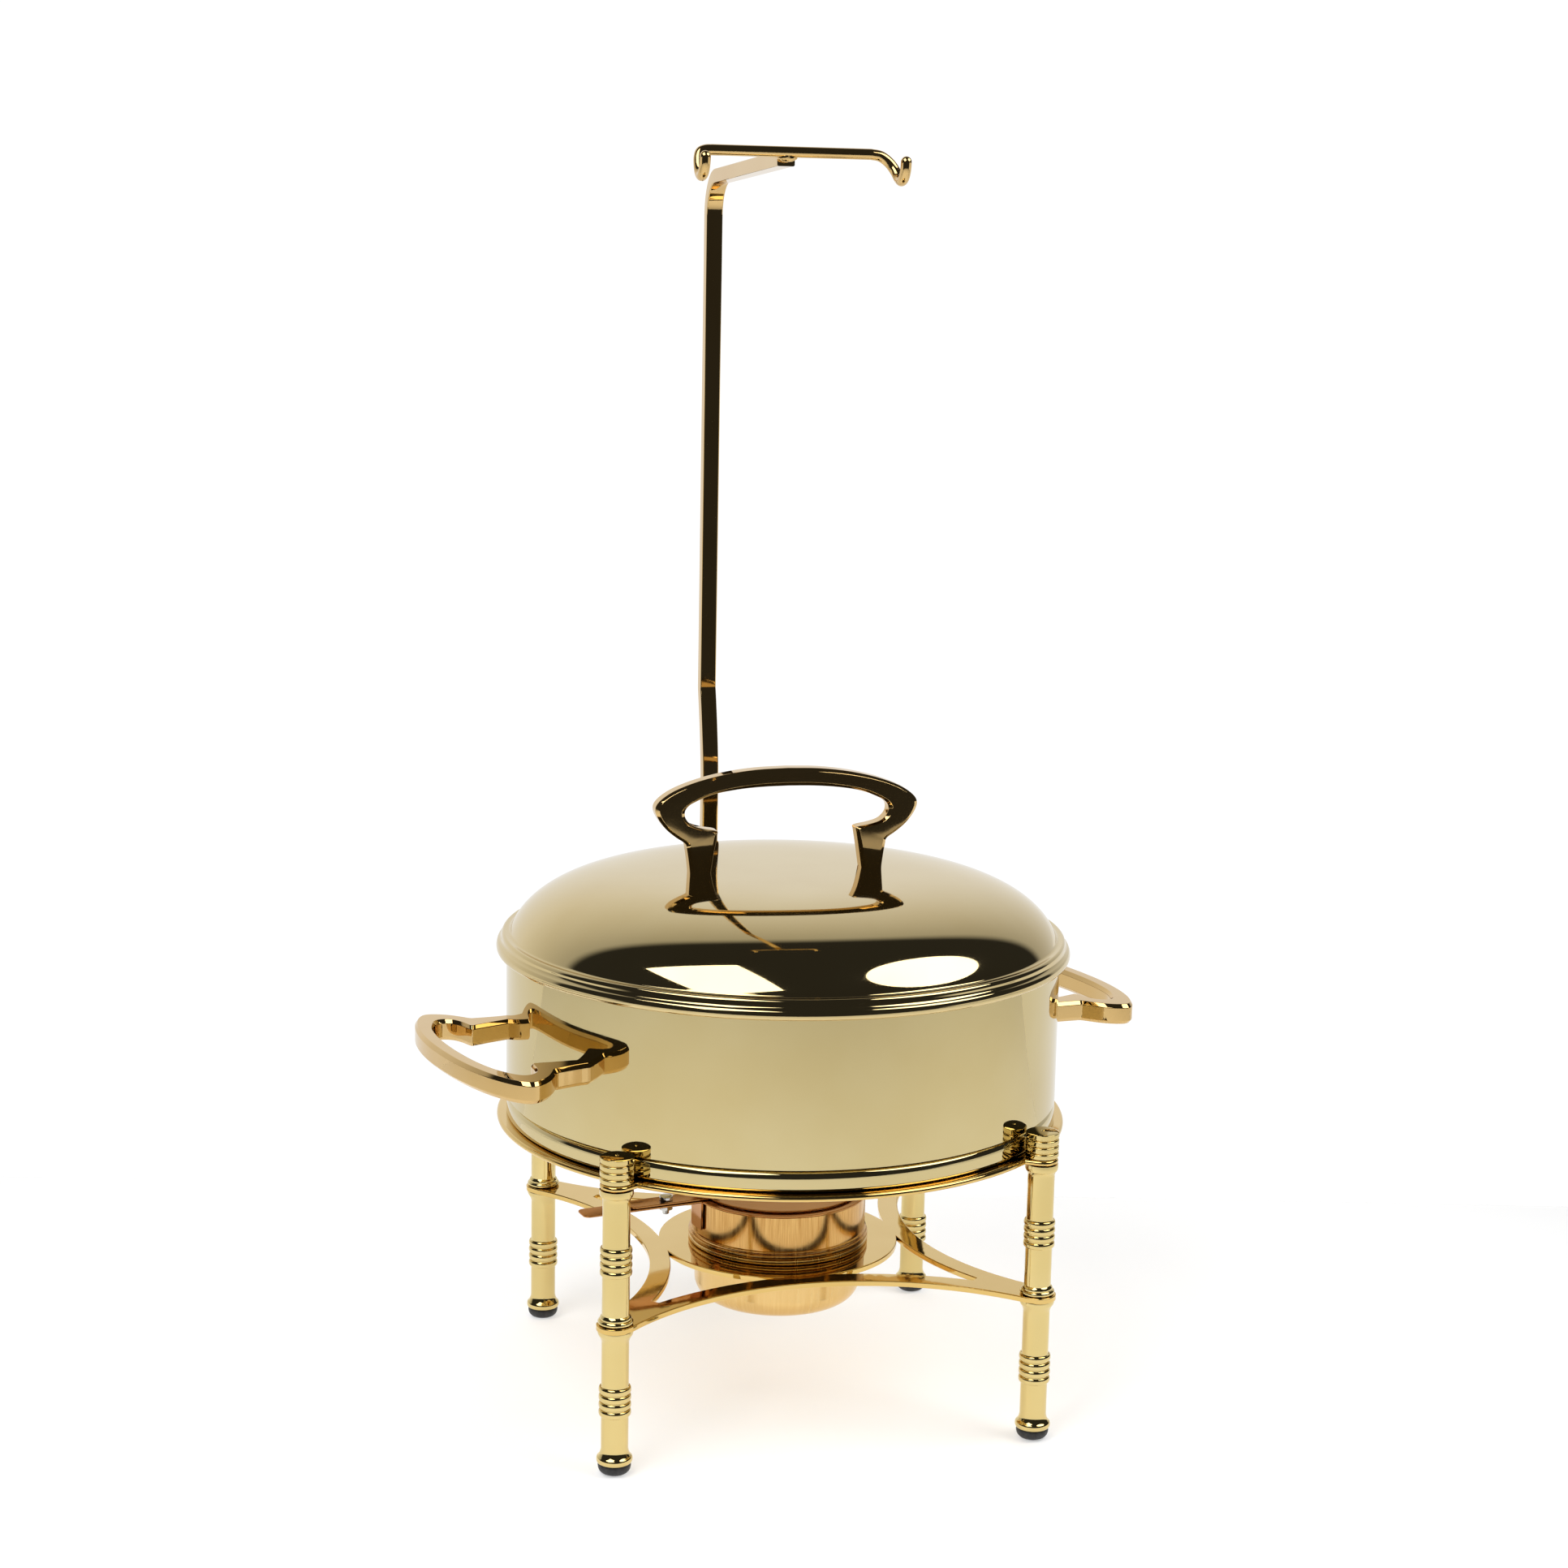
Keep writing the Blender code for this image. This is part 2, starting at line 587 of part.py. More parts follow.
# ---- the burner ---------------------------------------------------------------------------
def strip_loop(width, start, end, angle, tip=0.0):
    """A straight strip along a radius, from start to end, as a closed loop."""
    turn = math.radians(angle)
    along = Vector((math.cos(turn), math.sin(turn)))
    side = Vector((-along.y, along.x)) * width / 2
    return [tuple(along * start - side), tuple(along * (end - tip) - side),
            tuple(along * end), tuple(along * (end - tip) + side), tuple(along * start + side)]


def disc_with_arm(disc_r, width, end, angle, bores):
    """A round disc with a straight arm in one plane; bores are (centre, radius) pairs."""
    spread = math.degrees(math.asin(width / 2 / disc_r))
    outline = arc((0, 0), disc_r, angle + spread, angle + 360 - spread, 36)
    outline += strip_loop(width, disc_r, end, angle, 0.002)[1:4]
    return [outline] + [circle(centre, radius, steps) for centre, radius, steps in bores]


def build_burner(body, damper_body):
    """Cup, sleeve, fuel tin, flat handle, and the damper disc that swings on its bolt."""
    flange_z = FRAME_TOP_Z + GAP
    corner = 0.0120
    cup = [(0, CUP_FLOOR_Z)] + arc((CUP_R - corner, CUP_FLOOR_Z + corner), corner, -90, 0, 4)
    cup += [(CUP_R, flange_z), (0.0560, flange_z), (0.0564, flange_z + 0.0015),
            (0.0560, flange_z + 0.0030), (CUP_R - SHEET, flange_z + 0.0030)]
    cup += arc((CUP_R - corner, CUP_FLOOR_Z + corner), corner - SHEET, 0, -90, 3)
    cup.append((0, CUP_FLOOR_Z + SHEET))
    add_object("burner_cup", turned(cup, MEDIUM), COPPER, body)

    low = flange_z + 0.0030 + GAP
    inside = BURNER_R - SHEET
    sleeve = [(inside, low), (0.0556, low), (0.0562, low + 0.0018), (0.0554, low + 0.0034),
              (BURNER_R, low + 0.0044), (BURNER_R, SLEEVE_TOP_Z - 0.0015),
              (BURNER_R, SLEEVE_TOP_Z), (inside, SLEEVE_TOP_Z)]
    add_object("burner_sleeve", turned(sleeve, MEDIUM), COPPER, body)

    tin_r = 0.0400
    tin_low = CUP_FLOOR_Z + SHEET + GAP
    tin_top = 0.1100
    tin = [(0, tin_low), (tin_r, tin_low), (tin_r, tin_top), (0.0200, tin_top),
           (0.0200, tin_top - 0.0010), (tin_r - 0.0010, tin_top - 0.0010),
           (tin_r - 0.0010, tin_low + 0.0010), (0, tin_low + 0.0010)]
    add_object("fuel_tin", turned(tin, 20), STEEL, body)

    bolt_r = 0.0020
    turn = math.radians(STRIP_ANGLE)
    pivot = (PIVOT_R * math.cos(turn), PIVOT_R * math.sin(turn))
    strip_low = SLEEVE_TOP_Z + GAP
    strip_top = strip_low + SHEET
    bores = [((0, 0), 0.0500, MEDIUM), (pivot, bolt_r + GAP, 10)]
    band = flat(disc_with_arm(0.0560, STRIP_W, STRIP_END_R, STRIP_ANGLE, bores), strip_low, strip_top)
    handle = add_object("burner_handle", band, COPPER, body, smooth=False)
    tab = box((BURNER_R + GAP, -STRIP_W / 2, 0.1040), (BURNER_R + 0.0015, STRIP_W / 2, strip_top - 0.0002))
    boolean(handle, helper("tab_shape", moved(tab, Matrix.Rotation(turn, 4, "Z"))), "UNION")

    plate_low = strip_top + GAP
    plate_top = plate_low + SHEET
    bores = [(pivot, bolt_r + GAP, 10)]
    lever = flat(disc_with_arm(DAMPER_R, STRIP_W - 0.001, 0.1020, STRIP_ANGLE, bores),
                 plate_low, plate_top)
    add_object("damper_disc", lever, COPPER, damper_body, smooth=False)

    head = plate_top + GAP
    at_pivot = Matrix.Translation((*pivot, 0))
    bolt = turned([(0, strip_low - 0.0062), (bolt_r, strip_low - 0.0062), (bolt_r, head),
                   (0.0042, head), (0.0042, head + 0.0024), (0, head + 0.0030)], 10)
    add_object("damper_bolt", moved(bolt, at_pivot), STEEL, body)
    nut = flat([circle((0, 0), 0.0044, 6), circle((0, 0), bolt_r + GAP, 10)],
               strip_low - GAP - 0.0030, strip_low - GAP)
    add_object("damper_nut", moved(nut, at_pivot), STEEL, body, smooth=False)


def main():
    """Build the whole warmer."""
    for old in list(bpy.data.objects):
        bpy.data.objects.remove(old, do_unlink=True)
    ring = build_frames()
    for name, angle in LEG_ANGLES.items():
        build_leg(name, angle)
    build_post(ring)
    build_hanger()

    pan_body = add_empty("pan_body", (0, 0, PAN_FLOOR_Z))
    food_body = add_empty("food_body", (0, 0, PAN_TOP_Z), pan_body)
    lid_body = add_empty("lid_body", (0, 0, LID_BOTTOM_Z), food_body)
    burner_body = add_empty("burner_body", (0, 0, FRAME_TOP_Z))
    turn = math.radians(STRIP_ANGLE)
    pivot = (PIVOT_R * math.cos(turn), PIVOT_R * math.sin(turn), SLEEVE_TOP_Z)
    damper_body = add_empty("damper_body", pivot, burner_body)

    build_water_pan(pan_body)
    build_food_pan(food_body)
    build_lid(lid_body)
    build_burner(burner_body, damper_body)

    for piece in bpy.data.objects:
        if piece.parent is None:
            piece.location.y += PAN_AXIS_Y


main()
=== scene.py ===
"""Looks of the round chafing dish food warmer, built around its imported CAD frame.

Metres, +Z up. Turned and pressed pieces are drawn about the pan's axis, with heights above the
floor, and set down on that axis. -Y is the guest's side.
"""

import json
import math

import bmesh
import bpy
from mathutils import Matrix, Vector
from mathutils import noise as noise_3d


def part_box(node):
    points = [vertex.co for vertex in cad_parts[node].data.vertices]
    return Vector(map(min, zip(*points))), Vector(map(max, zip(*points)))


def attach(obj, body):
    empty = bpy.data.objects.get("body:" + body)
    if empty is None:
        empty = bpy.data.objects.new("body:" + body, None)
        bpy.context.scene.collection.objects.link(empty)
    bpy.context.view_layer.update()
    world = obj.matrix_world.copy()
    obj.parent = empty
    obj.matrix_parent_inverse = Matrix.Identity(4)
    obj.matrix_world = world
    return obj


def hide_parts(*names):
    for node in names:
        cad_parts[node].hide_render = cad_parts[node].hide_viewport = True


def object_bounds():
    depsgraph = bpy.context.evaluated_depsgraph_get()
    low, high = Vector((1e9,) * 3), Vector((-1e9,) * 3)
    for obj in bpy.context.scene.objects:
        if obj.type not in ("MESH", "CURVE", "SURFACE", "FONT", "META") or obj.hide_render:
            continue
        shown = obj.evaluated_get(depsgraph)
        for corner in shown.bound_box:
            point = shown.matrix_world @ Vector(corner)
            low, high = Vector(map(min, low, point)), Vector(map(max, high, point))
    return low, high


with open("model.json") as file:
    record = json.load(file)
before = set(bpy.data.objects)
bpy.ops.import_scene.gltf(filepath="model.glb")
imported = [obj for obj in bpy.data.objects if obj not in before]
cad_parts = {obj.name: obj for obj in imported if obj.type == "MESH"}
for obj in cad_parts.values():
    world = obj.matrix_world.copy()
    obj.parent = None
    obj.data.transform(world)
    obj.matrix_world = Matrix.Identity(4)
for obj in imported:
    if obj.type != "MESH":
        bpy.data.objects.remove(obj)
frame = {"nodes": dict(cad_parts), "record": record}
cad_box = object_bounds()

# ---- sizes taken from the frame -----------------------------------------------------------
pan_low, pan_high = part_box("water_pan")
ring_low, ring_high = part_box("upper_ring")
plate_low, plate_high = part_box("lower_frame_plate")
lid_low, lid_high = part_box("lid_dome")
DOME_TOP_Z = lid_high.z
food_low, food_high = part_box("food_pan")
cup_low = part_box("burner_cup")[0]
sleeve_low, sleeve_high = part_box("burner_sleeve")
rod_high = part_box("hanger_rod")[1]
post_low, post_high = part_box("lid_holder_post")
handle_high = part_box("lid_handle")[1]
handle_side_low, handle_side_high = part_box("right_handle")
foot_low, foot_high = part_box("front_left_foot")
finial_low, finial_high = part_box("front_left_finial")

AXIS = Vector(((pan_low.x + pan_high.x) / 2, (pan_low.y + pan_high.y) / 2, 0.0))
PAN_R = (pan_high.x - pan_low.x) / 2
RING_R = 0.1757
RING_BORE_R = 0.150
LEG_XY = abs((foot_low.x + foot_high.x) / 2 - AXIS.x)
LEG_SIGNS = {"front_left": (-1, -1), "front_right": (1, -1), "rear_right": (1, 1),
             "rear_left": (-1, 1)}
LEG_R = 0.0080
HANDLE_SCREW_S = 0.0540
STRIP_ANGLE = 191.0
PIVOT_R = 0.0765
GAP = 0.0003
SHEET = 0.0012

ROUND = 160                  # sides of the large turned pieces
SMALL_ROUND = 64             # sides of the legs and other small turned pieces


# ---- materials ----------------------------------------------------------------------------
def srgb(red, green, blue):
    """A colour given as display values from 0 to 255, made linear."""
    linear = []
    for value in (red, green, blue):
        share = value / 255.0
        linear.append(share / 12.92 if share <= 0.04045 else ((share + 0.055) / 1.055) ** 2.4)
    return (*linear, 1.0)


class Nodes:
    """Small helper that adds and links shader nodes."""

    def __init__(self, tree):
        self.tree = tree

    def add(self, kind, values=None, links=None, **settings):
        node = self.tree.nodes.new(kind)
        for key, value in settings.items():
            setattr(node, key, value)
        for key, value in (values or {}).items():
            node.inputs[key].default_value = value
        for key, socket in (links or {}).items():
            self.tree.links.new(socket, node.inputs[key])
        return node


def new_material(name):
    """An empty node material with its shader and output."""
    made = bpy.data.materials.new(name)
    made.use_nodes = True
    made.node_tree.nodes.clear()
    nodes = Nodes(made.node_tree)
    shader = nodes.add("ShaderNodeBsdfPrincipled")
    output = nodes.add("ShaderNodeOutputMaterial")
    made.node_tree.links.new(shader.outputs[0], output.inputs["Surface"])
    return made, nodes, shader


def noise(nodes, vector, scale, detail=3.0, roughness=0.5):
    """A noise texture on a vector, in features per metre."""
    made = nodes.add("ShaderNodeTexNoise", {"Scale": scale, "Detail": detail, "Roughness": roughness},
                     {"Vector": vector})
    return made.outputs["Fac"]


def spread(nodes, value, low, high, from_low=0.3, from_high=0.7):
    """Map a noise value onto a range."""
    made = nodes.add("ShaderNodeMapRange", {"From Min": from_low, "From Max": from_high,
                                            "To Min": low, "To Max": high}, {"Value": value})
    return made.outputs["Result"]


def polished(name, colour, deep, gloss, ripple, ripple_scale=45.0, scratch=0.05):
    """Plated, polished metal: a little uneven in tone, with faint ripples and wiping marks."""
    made, nodes, shader = new_material(name)
    where = nodes.add("ShaderNodeTexCoord").outputs["Object"]
    tone = nodes.add("ShaderNodeMix", {"A": colour, "B": deep},
                     {"Factor": spread(nodes, noise(nodes, where, 16.0), 0.0, 1.0)},
                     data_type="RGBA")
    smudge = noise(nodes, where, 38.0, 5.0, 0.62)
    wiped = nodes.add("ShaderNodeMapping", {"Scale": (260.0, 260.0, 1900.0)},
                      {"Vector": where}).outputs["Vector"]
    marks = noise(nodes, wiped, 1.0, 2.0)
    rough = spread(nodes, smudge, gloss[0], gloss[1])
    bump = nodes.add("ShaderNodeBump", {"Strength": ripple, "Distance": 0.0010},
                     {"Height": noise(nodes, where, ripple_scale, 1.0)})
    fine = nodes.add("ShaderNodeBump", {"Strength": scratch, "Distance": 0.00002},
                     {"Height": marks, "Normal": bump.outputs["Normal"]})
    shader.inputs["Metallic"].default_value = 1.0
    nodes.tree.links.new(tone.outputs["Result"], shader.inputs["Base Color"])
    nodes.tree.links.new(rough, shader.inputs["Roughness"])
    nodes.tree.links.new(fine.outputs["Normal"], shader.inputs["Normal"])
    return made


def brushed(name, colour, deep, gloss, streaks_per_turn=520.0, depth=0.35):
    """Turned metal with fine upright streaks round the Z axis."""
    made, nodes, shader = new_material(name)
    where = nodes.add("ShaderNodeTexCoord").outputs["Object"]
    split = nodes.add("ShaderNodeSeparateXYZ", links={"Vector": where})
    angle = nodes.add("ShaderNodeMath", links={0: split.outputs["Y"], 1: split.outputs["X"]},
                      operation="ARCTAN2").outputs["Value"]
    across = nodes.add("ShaderNodeMath", {1: streaks_per_turn / math.tau}, {0: angle},
                       operation="MULTIPLY").outputs["Value"]
    up = nodes.add("ShaderNodeMath", {1: 38.0}, {0: split.outputs["Z"]},
                   operation="MULTIPLY").outputs["Value"]
    joined = nodes.add("ShaderNodeCombineXYZ", links={"X": across, "Y": up}).outputs["Vector"]
    streak = noise(nodes, joined, 1.0, 4.0, 0.6)
    broad = noise(nodes, joined, 0.12, 2.0)
    tone = nodes.add("ShaderNodeMix", {"A": deep, "B": colour},
                     {"Factor": spread(nodes, streak, 0.0, 1.0)}, data_type="RGBA")
    rough = nodes.add("ShaderNodeMath", links={0: spread(nodes, streak, *gloss),
                                               1: spread(nodes, broad, 0.0, 0.06)},
                      operation="ADD").outputs["Value"]
    bump = nodes.add("ShaderNodeBump", {"Strength": depth, "Distance": 0.00006},
                     {"Height": streak})
    shader.inputs["Metallic"].default_value = 1.0
    nodes.tree.links.new(tone.outputs["Result"], shader.inputs["Base Color"])
    nodes.tree.links.new(rough, shader.inputs["Roughness"])
    nodes.tree.links.new(bump.outputs["Normal"], shader.inputs["Normal"])
    return made


def moulded(name, colour, gloss):
    """Black moulded rubber with a fine grain and a little dust."""
    made, nodes, shader = new_material(name)
    where = nodes.add("ShaderNodeTexCoord").outputs["Object"]
    grain = noise(nodes, where, 1500.0, 4.0)
    dust = noise(nodes, where, 260.0, 5.0, 0.7)
    tone = nodes.add("ShaderNodeMix", {"A": colour, "B": (0.045, 0.042, 0.040, 1.0)},
                     {"Factor": spread(nodes, dust, 0.0, 1.0, 0.45, 0.8)}, data_type="RGBA")
    bump = nodes.add("ShaderNodeBump", {"Strength": 0.25, "Distance": 0.00008}, {"Height": grain})
    nodes.tree.links.new(tone.outputs["Result"], shader.inputs["Base Color"])
    nodes.tree.links.new(spread(nodes, grain, *gloss), shader.inputs["Roughness"])
    nodes.tree.links.new(bump.outputs["Normal"], shader.inputs["Normal"])
    return made


GOLD = srgb(209, 192, 143)
GOLD_DEEP = srgb(205, 186, 134)
ROSE = srgb(216, 184, 126)
ROSE_DEEP = srgb(210, 174, 112)
COPPER = srgb(222, 180, 112)
COPPER_DEEP = srgb(178, 130, 70)

pan_gold = polished("pan_gold", GOLD, GOLD_DEEP, (0.020, 0.045), 0.008, 28.0)
lid_gold = polished("lid_gold", srgb(211, 191, 141), srgb(207, 185, 132), (0.030, 0.060), 0.005, 28.0)
leg_gold = polished("leg_gold", srgb(219, 198, 138), srgb(213, 189, 124), (0.04, 0.08), 0.008, 60.0, 0.01)
frame_gold = polished("frame_gold", srgb(222, 190, 120), srgb(216, 182, 108), (0.03, 0.07), 0.008, 50.0, 0.01)
cast_gold = polished("cast_gold", ROSE, ROSE_DEEP, (0.025, 0.055), 0.016, 50.0, 0.004)
rod_gold = polished("rod_gold", ROSE, ROSE_DEEP, (0.05, 0.09), 0.0, 60.0, 0.0)
steel_bright = polished("bright_steel", srgb(205, 203, 198), srgb(190, 188, 184), (0.10, 0.20), 0.02)
sleeve_copper = brushed("sleeve_copper", COPPER, COPPER_DEEP, (0.07, 0.15))
cup_copper = brushed("cup_copper", srgb(229, 196, 134), srgb(221, 183, 118), (0.17, 0.24), 300.0, 0.03)
strip_copper = polished("strip_copper", srgb(200, 146, 88), srgb(172, 116, 64), (0.06, 0.14), 0.02)
tin_steel = brushed("tin_steel", srgb(190, 188, 182), srgb(160, 158, 152), (0.25, 0.4), 240.0, 0.2)
rubber = moulded("foot_rubber", (0.010, 0.010, 0.010, 1.0), (0.42, 0.6))


# ---- outlines -----------------------------------------------------------------------------
def arc(centre, radius, start, end, steps):
    """Points on an arc, from the start angle to the end angle in degrees."""
    points = []
    for i in range(steps + 1):
        angle = math.radians(start + (end - start) * i / steps)
        points.append((centre[0] + radius * math.cos(angle), centre[1] + radius * math.sin(angle)))
    return points


def rounded(corners, steps=5, closed=False):
    """A path with its corners rounded; a corner is (x, y) or (x, y, radius)."""
    made = []
    count = len(corners)
    for i, corner in enumerate(corners):
        here = Vector(corner[:2])
        radius = corner[2] if len(corner) > 2 else 0.0
        if radius == 0.0 or (not closed and i in (0, count - 1)):
            made.append(tuple(here))
            continue
        to_before = Vector(corners[i - 1][:2]) - here
        to_after = Vector(corners[(i + 1) % count][:2]) - here
        half = to_before.angle(to_after) / 2
        reach = min(radius / math.tan(half), 0.48 * to_before.length, 0.48 * to_after.length)
        radius = reach * math.tan(half)
        first = to_before.normalized()
        second = to_after.normalized()
        centre = here + (first + second).normalized() * (radius / math.sin(half))
        start = here + first * reach - centre
        end = here + second * reach - centre
        sweep_angle = start.angle_signed(end)
        for k in range(steps + 1):
            turn = -sweep_angle * k / steps
            made.append((centre.x + start.x * math.cos(turn) - start.y * math.sin(turn),
                         centre.y + start.x * math.sin(turn) + start.y * math.cos(turn)))
    return made


def smooth(points, steps):
    """A smooth curve through given points (centripetal Catmull-Rom)."""
    route = [Vector(point) for point in points]
    route = [route[0] * 2 - route[1]] + route + [route[-1] * 2 - route[-2]]
    made = []
    for i in range(1, len(route) - 2):
        a, b, c, d = route[i - 1:i + 3]
        knots = [0.0]
        for p, q in ((a, b), (b, c), (c, d)):
            knots.append(knots[-1] + max((q - p).length, 1e-9) ** 0.5)
        for k in range(steps):
            t = knots[1] + (knots[2] - knots[1]) * k / steps
            ab = a.lerp(b, (t - knots[0]) / (knots[1] - knots[0]))
            bc = b.lerp(c, (t - knots[1]) / (knots[2] - knots[1]))
            cd = c.lerp(d, (t - knots[2]) / (knots[3] - knots[2]))
            abc = ab.lerp(bc, (t - knots[0]) / (knots[2] - knots[0]))
            bcd = bc.lerp(cd, (t - knots[1]) / (knots[3] - knots[1]))
            made.append(abc.lerp(bcd, (t - knots[1]) / (knots[2] - knots[1])))
    made.append(Vector(points[-1]))
    return made


# ---- meshes -------------------------------------------------------------------------------
def finish_piece(name, bm, look, sharp=32.0):
    """Link a bmesh as a piece at the pan's axis, smooth but for its sharp edges."""
    bmesh.ops.recalc_face_normals(bm, faces=bm.faces)
    mesh = bpy.data.meshes.new(name)
    bm.to_mesh(mesh)
    bm.free()
    mesh.materials.append(look)
    mesh.shade_smooth()
    mesh.set_sharp_from_angle(angle=math.radians(sharp))
    made = bpy.data.objects.new(name, mesh)
    bpy.context.scene.collection.objects.link(made)
    made.location = AXIS
    weigh = made.modifiers.new("weighted_normals", "WEIGHTED_NORMAL")
    weigh.keep_sharp = True
    weigh.weight = 60
    return made


def turned(outline, sides):
    """Turn a closed outline of (radius, height) points about the Z axis."""
    bm = bmesh.new()
    rings = []
    for radius, height in outline:
        if radius < 1e-7:
            rings.append([bm.verts.new((0.0, 0.0, height))])
        else:
            rings.append([bm.verts.new((radius * math.cos(math.tau * k / sides),
                                        radius * math.sin(math.tau * k / sides), height))
                          for k in range(sides)])
    for low, high in zip(rings, rings[1:] + rings[:1]):
        for k in range(sides):
            after = (k + 1) % sides
            if len(low) == 1 and len(high) == 1:
                break
            if len(low) == 1:
                bm.faces.new((low[0], high[after], high[k]))
            elif len(high) == 1:
                bm.faces.new((low[k], low[after], high[0]))
            else:
                bm.faces.new((low[k], low[after], high[after], high[k]))
    return bm


def skin(bm, rings):
    """Join matching rings of vertices with faces and close both ends."""
    for low, high in zip(rings, rings[1:]):
        for k in range(len(low)):
            bm.faces.new((low[k - 1], low[k], high[k], high[k - 1]))
    bm.faces.new(rings[0])
    bm.faces.new(rings[-1][::-1])


def set_in(loop, distance):
    """A closed anticlockwise loop moved to its left by a distance."""
    count = len(loop)
    made = []
    for i in range(count):
        here = Vector(loop[i])
        before = (here - Vector(loop[i - 1])).normalized()
        after = (Vector(loop[(i + 1) % count]) - here).normalized()
        left = Vector((-before.y - after.y, before.x + after.x))
        left.normalize()
        stretch = max(left.dot(Vector((-before.y, before.x))), 0.35)
        made.append(tuple(here + left * (distance / stretch)))
    return made


def slab(outer, holes, bottom, top, edge, steps=3):
    """A flat plate with round edges. All loops are given anticlockwise."""
    bm = bmesh.new()
    loops = [outer] + [hole[::-1] for hole in holes]
    levels = []
    for i in range(steps + 1):
        turn = math.pi / 2 * i / steps
        levels.append((edge * (1 - math.sin(turn)), bottom + edge * (1 - math.cos(turn))))
    levels += [(inset, bottom + top - height) for inset, height in reversed(levels)]
    for cap in (0, -1):
        edges = []
        for loop in loops:
            inset, height = levels[cap]
            verts = [bm.verts.new((x, y, height)) for x, y in set_in(loop, inset)]
            edges += [bm.edges.new((verts[i - 1], verts[i])) for i in range(len(verts))]
        bmesh.ops.triangle_fill(bm, use_beauty=True, edges=edges)
    for loop in loops:
        rows = [[bm.verts.new((x, y, height)) for x, y in set_in(loop, inset)]
                for inset, height in levels]
        for low, high in zip(rows, rows[1:]):
            for i in range(len(loop)):
                bm.faces.new((low[i - 1], low[i], high[i], high[i - 1]))
    bmesh.ops.remove_doubles(bm, verts=bm.verts, dist=1e-6)
    return bm


def swept(route, section, side=None, round_ends=0.0):
    """Sweep a closed (across, up) section along a route; side is a fixed across direction."""
    bm = bmesh.new()
    count = len(route)
    stations = []
    across = side
    for i, place in enumerate(route):
        tangent = (route[min(i + 1, count - 1)] - route[max(i - 1, 0)]).normalized()
        if side is None:
            if across is None:
                across = tangent.orthogonal().normalized()
            across = (across - tangent * across.dot(tangent)).normalized()
        up = tangent.cross(across).normalized()
        stations.append((place, tangent, across.copy(), up, 1.0))
    if round_ends:
        first, last = stations[0], stations[-1]
        caps = 5
        for k in range(1, caps + 1):
            turn = math.pi / 2 * k / caps
            size = max(math.cos(turn), 0.02)
            push = round_ends * math.sin(turn)
            stations.insert(0, (first[0] - first[1] * push, first[1], first[2], first[3], size))
            stations.append((last[0] + last[1] * push, last[1], last[2], last[3], size))
    rings = [[bm.verts.new(place + across * (x * size) + up * (y * size)) for x, y in section]
             for place, tangent, across, up, size in stations]
    skin(bm, rings)
    return bm


def bar_section(width, height, corner, steps=3):
    """A rectangle with round corners."""
    x, y = width / 2, height / 2
    return rounded([(-x, -y, corner), (x, -y, corner), (x, y, corner), (-x, y, corner)], steps, True)


def place(piece, body, slot, *nodes):
    """Ride the piece on a body and let it stand for CAD nodes."""
    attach(piece, body)
    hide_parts(*nodes)
    return piece


# ---- legs ---------------------------------------------------------------------------------
def bead_row(centres, rise, half, valley):
    """Outline of a row of turned ribs, listed upwards."""
    points = [(LEG_R, centres[0] - half - 0.0007)]
    for centre in centres:
        top = LEG_R + rise
        points += [(valley, centre - half)]
        for k in range(7):
            turn = math.radians(-75 + 150 * k / 6)
            points.append((valley + (top - valley) * math.cos(turn) ** 0.55,
                           centre + half * math.sin(turn) * 0.98))
        points += [(valley, centre + half)]
    points.append((LEG_R, centres[-1] + half + 0.0007))
    return points


